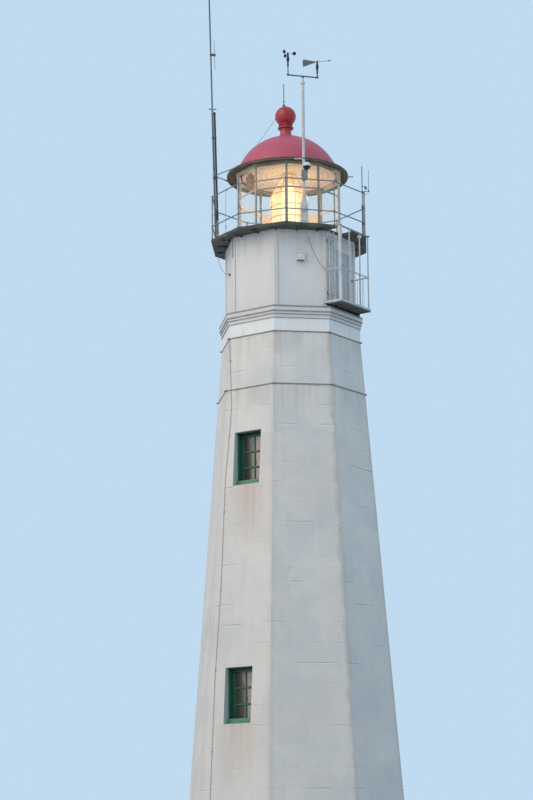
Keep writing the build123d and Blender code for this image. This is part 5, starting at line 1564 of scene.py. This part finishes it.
# %% Sensors
left_sensor = mast - arm_side * ARM_HALF
right_sensor = mast + arm_side * ARM_HALF
for foot_point, low, height in (
    (left_sensor, arm_level + 0.29, 0.340),
    (right_sensor, arm_level + 0.13, 0.335),
):
    for part in (0.02, 0.05, 0.08, 0.18, 0.21, 0.24, 0.27, 0.30):
        girth = 0.025 if part < 0.10 else 0.044 - 0.019 * (part - 0.18) / (height - 0.18)
        inner, outer = girth - 0.001, girth + 0.003
        fin = [(inner, -0.006), (outer, -0.003), (outer, 0.003), (inner, 0.006)]
        turned(foot_point + up * (low + part), fin, 36)
    gland = [(0.017, 0.0), (0.024, 0.002), (0.024, 0.022), (0.0255, 0.031)]
    turned(foot_point + up * (low - 0.030), gland, 6)
done("sensor_rings", "black_nylon")

rotor = Vector(frame_joint["rotor_spin"])
hub = [(0.025, 0.0), (0.024, 0.006), (0.014, 0.014), (0.0, 0.017)]
turned(rotor + up * 0.0195, hub, 28)
for step in range(3):
    azimuth = INSTRUMENTS + 90 + 120 * step
    out, side = facing(azimuth)
    centre = rotor + out * 0.187
    pipe(circle(centre, out * 0.0535, up * 0.0535, 36), 0.0022, 6, closed=True)
    turned(rotor + out * 0.022, [(0.0055, 0.0), (0.0095, 0.001), (0.0085, 0.020), (0.0055, 0.022)], 16, out)
    pipe(circle(centre - side * 0.001, out * 0.0555, -side * 0.0555, 28)[:15], 0.0018, 6)
done("cup_rims", "black_nylon", "cup_rotor")

vane = Vector(frame_joint["vane_turn"])
turned(vane + up * 0.0195, hub, 28)
for reach, size in ((0.335, 0.019), (0.382, 0.019)):
    band = [(0.0165, -0.003), (size, -0.001), (size, 0.003), (0.0165, 0.005)]
    turned(vane + vane_side * reach, band, 24, vane_side)
turned(vane + vane_side * 0.392, [(0.0170, 0.0), (0.0120, 0.008), (0.0, 0.012)], 24, vane_side)
for way in (-1, 1):
    sleeve = [(0.0075, 0.0), (0.0125, 0.001), (0.0105, 0.024), (0.0075, 0.026)]
    turned(vane + vane_side * way * 0.022, sleeve, 16, vane_side * way)
for reach, height in ((0.160, 0.050), (0.290, 0.090), (0.415, 0.128)):
    for way in (-1, 1):
        spot = vane - vane_side * reach + vane_out * way * (reach - 0.03) * math.tan(math.radians(8))
        beam(spot, up * height / 2, vane_side, 0.006, 0.0075, 0.001)
done("vane_ribs", "black_nylon", "wind_vane")

# %% [markdown]
# ## Watching camera
# The camera is a white sun hood over a smoked bowl, hung on a bracket beside the mast. It replaces
# the plain ball of the solids: the hood is a dome with a rolled edge, and the bowl under it is
# smaller and nearly black.

# %% Watching camera
eye_level = sum(levels("dome_camera")) / 2
eye = mast + eye_side * 0.085 + eye_out * 0.100 + up * (eye_level - 0.035)
hood = [(0.112, -0.008), (0.126, -0.006), (0.128, 0.004)]
for step in range(1, 12):
    turn = math.pi * step / 24
    hood.append((0.1255 * math.cos(turn), 0.006 + 0.114 * math.sin(turn)))
hood += [(0.0, 0.1205)]
turned(eye, [(0.0, 0.004)] + hood, 48)
hood_piece = done("camera_hood", "white_housing")
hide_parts("dome_camera")

bowl = [(0.0, -0.112)]
for step in range(-11, 1):
    turn = math.pi * step / 24
    bowl.append((0.108 * math.cos(turn), -0.008 + 0.105 * math.sin(turn)))
turned(eye, bowl + [(0.0, -0.006)], 48)
done("camera_bowl", "smoked_bowl")

arm_point = mast + up * (eye_level + 0.020)
to_eye = (eye_side * 0.085 + eye_out * 0.100).normalized()
bar(arm_point + to_eye * 0.030, arm_point + to_eye * 0.095, up, 0.070, 0.034, 0.005)
for level in (-0.050, 0.060):
    turned(arm_point + up * level, collar(0.0425, 0.049, 0.024, 0.002), 32)
    bolt(arm_point + up * (level + 0.012) - to_eye * 0.048, -to_eye, 0.016)
back = arm_point + to_eye * 0.045
bar(back - up * 0.045, back + up * 0.080, eye_side, 0.060, 0.012, 0.003)
done("camera_bracket", "lamp_box_grey")

# %% [markdown]
# ## Antenna mast fittings
# The mast by the left corner stands in a foot bracket with a gusset. Ferrules cover the joints of
# the whip, the clamps are drawn up by long bolts with nuts on both ends, and a rusty pipe carries
# the cable from the black tube down to the deck.

# %% Antenna mast fittings
WHIP_AZIMUTH, WHIP_REACH, WHIP_LEAN = -91.6, 2.190, 1.4
whip_foot = at(WHIP_AZIMUTH, WHIP_REACH, 0.0, deck_top)
whip_out, whip_side = facing(WHIP_AZIMUTH)
lean = (whip_out * math.tan(math.radians(WHIP_LEAN)) + up).normalized()
whip_in = whip_side.cross(lean).normalized()
if whip_in.dot(whip_out) > 0:
    whip_in = -whip_in
TUBE = 0.067  # mast axis to the axis of the black tube
for level, radius, length in (
    (3.98, 0.030, 0.16), (4.10, 0.023, 0.10), (5.86, 0.023, 0.09), (7.10, 0.023, 0.06),
):
    ferrule = [(radius, 0.0), (radius + 0.006, 0.004), (radius + 0.006, length - 0.006), (radius, length)]
    turned(whip_foot + lean * level, ferrule, 28, lean)
for level in (0.868, 1.998, 3.268):
    for way in (-1, 1):
        spot = whip_foot + lean * level + whip_side * way * 0.043 + whip_in * 0.034
        pipe([spot - whip_in * 0.075, spot + whip_in * 0.075], 0.0055, 8)
        for end in (-1, 1):
            bolt(spot + whip_in * end * 0.066, whip_in * end, 0.018)
clasp = whip_foot + lean * 2.08
turned(clasp - lean * 0.05, collar(0.030, 0.040, 0.100, 0.004), 28, lean)
cross = whip_foot + lean * 4.17
bar(cross - whip_out * 0.115, cross + whip_out * 0.095, lean, 0.020, 0.020, 0.003)
for reach in (-0.105, -0.040, 0.045, 0.088):
    bolt(cross + whip_out * reach + whip_side * 0.010, whip_side, 0.034)
for way in (-1, 1):
    low = whip_foot + whip_side * way * 0.034 + up * 0.004
    bar(low, whip_foot + whip_side * way * 0.038 + up * 0.16, whip_out, 0.010, 0.070, 0.002)
bar(whip_foot, whip_foot + up * 0.012, whip_side, 0.20, 0.16, 0.003)
for x in (-0.075, 0.075):
    for y in (-0.055, 0.055):
        bolt(whip_foot + whip_side * x + whip_out * y + up * 0.011, up, 0.020)
done("antenna_mast_fittings", "galvanised_rail")

tube_line = whip_foot + whip_in * TUBE
low = tube_line + lean * 0.004
run_points = [low + lean * part for part in (0.0, 0.10, 0.35, 0.60, 0.70)]
pipe(run_points, [0.034, 0.026, 0.024, 0.024, 0.028], 20)
for level in (0.10, 0.32, 0.54):
    turned(low + lean * level, collar(0.024, 0.030, 0.033, 0.003), 20, lean)
done("cable_riser", "rusted_riser")

for level, length in ((0.70, 0.05), (2.32, 0.03), (4.03, 0.04)):
    cuff = [(0.029, 0.0), (0.033, 0.003), (0.033, length - 0.004), (0.029, length)]
    turned(tube_line + lean * level, cuff, 28, lean)
turned(tube_line + lean * 4.038, [(0.029, 0.0), (0.024, 0.010), (0.012, 0.018), (0.0, 0.020)], 28, lean)
done("tube_cuffs", "dark_aerial_sleeve")

# %% [markdown]
# ## Brace ends and the corner antenna
# Each brace ends in a flattened palm bolted through a lug on the brim. The aerial at the right
# corner is held to its railing post by two clamps, and its second rod sits in a small insulator.

# %% Brace ends and the corner antenna
brim_edge = lip_low + 0.035
brace_root = whip_foot + lean * 2.08
for azimuth in (-64, -108):
    end = ROOF + at(azimuth, LIP, 0.0, brim_edge)
    run = (end - brace_root).normalized()
    out, side = facing(azimuth)
    bar(end - run * 0.10, end - run * 0.004, side, 0.046, 0.034, 0.006)
    bar(end - out * 0.002, end + out * 0.055, side, 0.075, 0.012, 0.003)
    bolt(end + out * 0.034 + up * 0.006, up, 0.022)
    turned(end - run * 0.17, collar(0.015, 0.021, 0.044, 0.004), 20, run)
stub = ROOF + at(80, LIP + 0.135, 0.0, brim_edge)
turned(stub - up * 0.014, collar(0.020, 0.022, 0.028, 0.003), 20)
done("brace_ends", "galvanised_rail")

CORNER_AZIMUTH, CORNER_REACH = 60, 2.296
corner_foot = at(CORNER_AZIMUTH, CORNER_REACH, 0.0, deck_top)
out = facing(CORNER_AZIMUTH)[0]
for level in (0.36, 0.88):
    spot = corner_foot + up * level
    turned(spot, collar(0.025, 0.033, 0.040, 0.003), 24)
    bar(spot + out * 0.015 + up * 0.020, spot + out * 0.050 + up * 0.020, up, 0.036, 0.030, 0.004)
turned(corner_foot + up * 0.925, [(0.025, 0.0), (0.029, 0.004), (0.024, 0.030), (0.013, 0.060)], 24)
turned(corner_foot + up * 1.350, collar(0.013, 0.024, 0.040, 0.003), 20)
tip = corner_foot + out * 0.200
turned(tip + up * 1.332, [(0.0, 0.0), (0.016, 0.004), (0.019, 0.020), (0.019, 0.062), (0.008, 0.076)], 20)
pipe([tip + up * 1.345, corner_foot + up * 1.190], 0.005, 8)
hinge = corner_foot + out * 0.105 + up * 1.480
pipe([corner_foot + up * 1.545, hinge + up * 0.030], 0.008, 8)
ball = [
    (0.0, -0.052), (0.024, -0.046), (0.036, -0.026), (0.036, 0.010),
    (0.026, 0.036), (0.012, 0.050), (0.0, 0.053),
]
turned(hinge, ball, 24, (up - out * 0.5).normalized())
turned(corner_foot, [(0.050, 0.0), (0.050, 0.008), (0.032, 0.012), (0.030, 0.040), (0.025, 0.044)], 28)
done("corner_antenna_fittings", "rod_iron")

# %% [markdown]
# ## Balcony floor
# The balcony's floor is a plate on an angle-iron frame. From below, which is how it is mostly seen,
# the frame's legs and four cross bearers stand down from the plate, with drip stains between them.

# %% Balcony floor
floor_top = levels("balcony_floor")[1]
floor_low = floor_top - 0.05
BALCONY_LEFT, BALCONY_RIGHT, BALCONY_REACH = -0.89, 0.62, 2.38
out, side = facing(BALCONY)
outer = BALCONY_REACH + 0.04
for along in (BALCONY_LEFT + 0.006, BALCONY_RIGHT - 0.006):
    inner = at(BALCONY, watch_flat + 0.16, along, floor_low - 0.012)
    bar(inner, at(BALCONY, outer, along, floor_low - 0.012), side, 0.008, 0.050, 0.001)
front_low = at(BALCONY, outer - 0.006, BALCONY_LEFT, floor_low - 0.012)
bar(front_low, front_low + side * (BALCONY_RIGHT - BALCONY_LEFT), out, 0.008, 0.050, 0.001)
for step in range(5):
    along = BALCONY_LEFT + 0.20 + step * 0.28
    inner = at(BALCONY, watch_flat + 0.17, along, floor_low - 0.010)
    bar(inner, at(BALCONY, outer - 0.02, along, floor_low - 0.010), side, 0.036, 0.022, 0.002)
for reach in (watch_flat + 0.24, watch_flat + 0.42):
    left = at(BALCONY, reach, BALCONY_LEFT + 0.02, floor_low - 0.004)
    bar(left, at(BALCONY, reach, BALCONY_RIGHT - 0.02, floor_low - 0.004), out, 0.030, 0.012, 0.002)
done("balcony_floor_frame", "dark_plate_paint")

for along in (BALCONY_LEFT - 0.001, BALCONY_RIGHT + 0.001):
    edge = at(BALCONY, watch_flat + 0.01, along, floor_low + 0.030)
    bar(edge, edge + out * (outer - watch_flat - 0.01), side, 0.008, 0.060, 0.001)
edge = at(BALCONY, outer + 0.002, BALCONY_LEFT, floor_low + 0.030)
bar(edge, edge + side * (BALCONY_RIGHT - BALCONY_LEFT), out, 0.008, 0.060, 0.001)
done("balcony_toe_boards", "white_mast_paint")

# %% [markdown]
# ## Balcony posts and rails
# The tall corner post is a square tube with a cap and a bolted foot. The thin posts have foot plates
# too, the handrail is clipped to every post, and each baluster ends in a small weld collar.

# %% Balcony posts and rails
post_places = (BALCONY_LEFT + 0.04, BALCONY_LEFT + 0.51, BALCONY_LEFT + 1.04, BALCONY_RIGHT - 0.04)
rail_top = floor_top + 0.96
for number, along in enumerate(post_places):
    wide = 0.12 if number == 0 else 0.08
    deep = 0.078
    foot = at(BALCONY, BALCONY_REACH, along, floor_top)
    bar(foot, foot + up * 0.010, side, wide, deep, 0.002)
    for way in (-1, 1):
        bolt(foot + side * way * (wide / 2 - 0.012) + up * 0.009, up, 0.014)
    size = 0.087 if number == 0 else 0.037
    for level, high in ((rail_top - 0.030, 0.030), (deck_low + 0.006, 0.022)):
        ring = at(BALCONY, BALCONY_REACH, along, level)
        bar(ring, ring + up * high, side, size, size, 0.003)
done("balcony_post_fittings", "white_mast_paint")

inner_start, inner_end = post_places[0] + 0.04, post_places[3] - 0.015
count = round((inner_end - inner_start) / 0.22)
gap = (inner_end - inner_start) / count
places = [at(BALCONY, BALCONY_REACH, inner_start + gap * step, 0.0) for step in range(1, count)]
side_run = BALCONY_REACH - 0.04 - watch_flat
count = round(side_run / 0.15)
for along in (post_places[0], post_places[3]):
    places += [at(BALCONY, watch_flat + side_run * step / count, along, 0.0) for step in range(1, count)]
for spot in places:
    turned(spot + up * floor_top, [(0.013, 0.0), (0.012, 0.006), (0.007, 0.012)], 12)
    turned(spot + up * (rail_top - 0.046), [(0.007, 0.0), (0.011, 0.010), (0.011, 0.016)], 12)
flange = at(BALCONY, watch_flat, post_places[3], rail_top - 0.015)
bar(flange, flange + out * 0.010, side, 0.070, 0.070, 0.002)
done("balcony_rail_collars", "galvanised_rail")

# %% [markdown]
# ## Lamp on the third post
# A round bulkhead lamp hangs on the third post: a white glass globe held by a dark metal ring and a
# gallery cap, with a saddle that clamps to the post.

# %% Lamp on the third post
globe = at(BALCONY, BALCONY_REACH, post_places[2], sum(levels("balcony_lamp")) / 2)
for tilt in (0.0, 0.032):
    turned(globe + up * tilt, [(0.062, -0.005), (0.0675, -0.003), (0.0675, 0.003), (0.062, 0.005)], 36)
for step in range(4):
    turn = math.pi / 4 + step * math.pi / 2
    way = side * math.cos(turn) + out * math.sin(turn)
    tilts = [-1.35 + 2.7 * part / 14 for part in range(15)]
    pipe([globe + (way * math.cos(t) + up * math.sin(t)) * 0.0665 for t in tilts], 0.0028, 6)
done("balcony_lamp_cage", "rod_iron")

# %% [markdown]
# ## Ladder
# Its stiles are flat tubes and its rungs go right through them, so a short stub and a weld show on
# the outside of each stile. Saddles hold it to the wall.

# %% Ladder
LADDER_SHIFT, LADDER_WIDE = -0.595, 0.240
ladder_reach = watch_flat + 0.09
run = deck_low - floor_top
rungs = int(run / 0.300)
for number in range(1, rungs + 1):
    level = floor_top + number * run / (rungs + 1)
    for way in (-1, 1):
        spot = at(BALCONY, ladder_reach, LADDER_SHIFT + way * (LADDER_WIDE / 2 - 0.001), level)
        turned(spot, [(0.013, 0.0), (0.012, 0.004), (0.008, 0.010), (0.0, 0.011)], 14, side * way)
        inner = at(BALCONY, ladder_reach, LADDER_SHIFT + way * (LADDER_WIDE / 2 - 0.031), level)
        turned(inner, [(0.009, 0.005), (0.012, 0.001), (0.013, -0.001)][::-1], 14, -side * way)
for level in (floor_top + 0.30, deck_low - 0.30):
    for way in (-1, 1):
        back = watch_flat - (0.030 if way > 0 else 0.0)  # the right saddle stands in the panel's recess
        spot = at(BALCONY, back, LADDER_SHIFT + way * 0.105, level)
        bar(spot, spot + out * 0.008, side, 0.055, 0.110, 0.002)
        for z in (-0.038, 0.038):
            bolt(spot + up * z + out * 0.007, out, 0.014)
done("ladder_welds_and_saddles", "galvanised_rail")

# %% [markdown]
# ## Cornice flashing
# The top edge of the cornice is dressed with sheet lead. It is folded 40 mm down the face and runs
# back a hand's breadth under the balcony's bearers, and it draws the grey line along the cornice.

# %% Cornice flashing
crown_flat, crown_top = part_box("cornice")[1][0], levels("cornice")[1]
folds = ((0.0005, -0.040), (0.007, -0.043), (0.006, 0.000), (0.002, 0.004), (-0.110, 0.007), (-0.110, 0.001))
rows = []
for corner in range(8):
    azimuth = 22.5 + 45 * corner
    row = [at(azimuth, (crown_flat + grow) / EIGHTH, 0.0, crown_top + rise) for grow, rise in folds]
    rows.append([bench.verts.new(point) for point in row])
for number in range(8):
    near, far = rows[number - 1], rows[number]
    for step in range(6):
        bench.faces.new((near[step - 1], near[step], far[step], far[step - 1]))
done("cornice_flashing", "lead_flashing")

# %% [markdown]
# ## Wall lamp
# The lamp on the front wall is a pressed box with a sloping hood, open underneath: from the ground
# one sees its dark inside and the edge of the glass. The hood's lip, side screws and the glass frame
# are added to the box, and a near-black plate across its underside is painted shade for the dark inside.

# %% Wall lamp
lamp_low, lamp_high = levels("wall_lamp")
lamp_face = -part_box("wall_lamp")[0][1]
out, side = facing(0)
panel_reach = watch_flat - 0.03
top = at(0, panel_reach, 0.0, lamp_high + 0.004)
bar(top, at(0, lamp_face + 0.014, 0.0, lamp_high - 0.004), side, 0.238, 0.012, 0.003)
lip = at(0, lamp_face + 0.010, 0.0, lamp_high - 0.022)
beam(lip, side * 0.118, out, 0.008, 0.040, 0.002)
for way in (-1, 1):
    wing = at(0, panel_reach + 0.004, way * 0.1095, lamp_high - 0.02)
    bar(wing, at(0, lamp_face + 0.006, way * 0.1095, lamp_high - 0.02), side, 0.004, 0.050, 0.001)
    for reach, level in ((0.03, 0.05), (0.10, 0.05), (0.03, 0.16)):
        bolt(at(0, panel_reach + reach, way * 0.1075, lamp_low + level), side * way, 0.011)
frame_low = at(0, lamp_face + 0.003, 0.0, lamp_low + 0.010)
beam(frame_low, side * 0.110, out, 0.010, 0.022, 0.002)
for way in (-1, 1):
    stile = at(0, lamp_face + 0.003, way * 0.101, lamp_low + 0.004)
    bar(stile, stile + up * 0.222, side, 0.014, 0.008, 0.002)
plate = at(0, panel_reach, 0.0, (lamp_low + lamp_high) / 2)
bar(plate, plate + out * 0.006, side, 0.260, 0.290, 0.002)
done("wall_lamp_hood", "lamp_box_grey")

# Painted shade: a near-black plate stands for the shaded inside of the open box
under = at(0, panel_reach + 0.012, 0.0, lamp_low - 0.001)
bar(under, at(0, lamp_face - 0.004, 0.0, lamp_low - 0.001), side, 0.196, 0.010, 0.002)
done("wall_lamp_shade_plate", "smoked_bowl")

# %% [markdown]
# ## Glands, straps and knots
# Where a lead meets the tower there is something for it to go into: a black gland on a round plate,
# a cast hook, a knot. A short iron strap also runs down the left corner from the deck.

# %% Glands, straps and knots
out = facing(-90)[0]
wall_gland = [(0.052, 0.0), (0.052, 0.006), (0.034, 0.010), (0.030, 0.034), (0.018, 0.040), (0.009, 0.062)]
turned(at(-90, panel_reach, 0.13, 18.27), wall_gland, 24, out)
deck_gland = [(0.026, 0.0), (0.026, -0.008), (0.014, -0.014), (0.010, -0.040), (0.0065, -0.044)]
turned(Vector((-2.060, 0.708, deck_low)), deck_gland, 20)
turned(at(BALCONY, 1.862, -0.850, 18.0), [(0.018, 0.0), (0.020, 0.004), (0.020, 0.030), (0.010, 0.036)], 18)
done("lead_glands", "black_nylon")

out = facing(0)[0]
panel_gland = [(0.024, 0.0), (0.024, 0.005), (0.012, 0.009), (0.010, 0.030), (0.0065, 0.034)]
turned(at(0, panel_reach - 0.001, 0.240, 18.985), panel_gland, 20, out)
done("front_gland", "lamp_box_grey")

out, side = facing(-64)
for shift in (-0.011, 0.0, 0.011):
    centre = out * (2.262 - 0.024) + side * shift + up * (deck_top + 1.32)
    pipe(circle(centre, out * 0.0225, up * 0.0225, 14), 0.0052, 8, closed=True)
knot = at(-62.4, 2.296, 0.0, 19.000)
for tilt in (0.0, 1.1, 2.2):
    way = Vector((math.cos(tilt), math.sin(tilt), 0.0))
    pipe(circle(knot, way * 0.012, up * 0.012, 12), 0.0058, 8, closed=True)
loose = circle(at(-63.2, 2.300, 0.020, 19.44), at(-63, 0.0, 0.040, 0.0), up * 0.055, 20)
pipe(loose, 0.0048, 8, closed=True)
done("halyard_knots", "grey_rope")

strap = at(-67.5, WATCH_REACH + 0.004, 0.03, 0.0)
out, side = facing(-67.5)
bar(strap + up * 18.60, strap + up * (deck_low - 0.001), side, 0.022, 0.008, 0.001)
for level in (18.66, 18.95):
    bolt(strap + up * level + out * 0.003, out, 0.016)
done("corner_strap", "galvanised_rail")

# %% [markdown]
# ## Conductor test joint
# Steel saddles already hold the conductor. A test joint with its two screws is added at chest
# height, because a bare strip reads as a drawn line.

# %% Conductor test joint
print("conductor reaches from and to", [round(end, 2) for end in levels("down_conductor")])
level = 1.35
spot = at(-45, wall_reach(level) + 0.012, -0.805, level)
out, side = facing(-45)
beam(spot, up * 0.05, side, 0.040, 0.026, 0.004)
for z in (-0.03, 0.03):
    bolt(spot + up * z + out * 0.013, out, 0.016)
done("conductor_test_joint", "aged_copper")
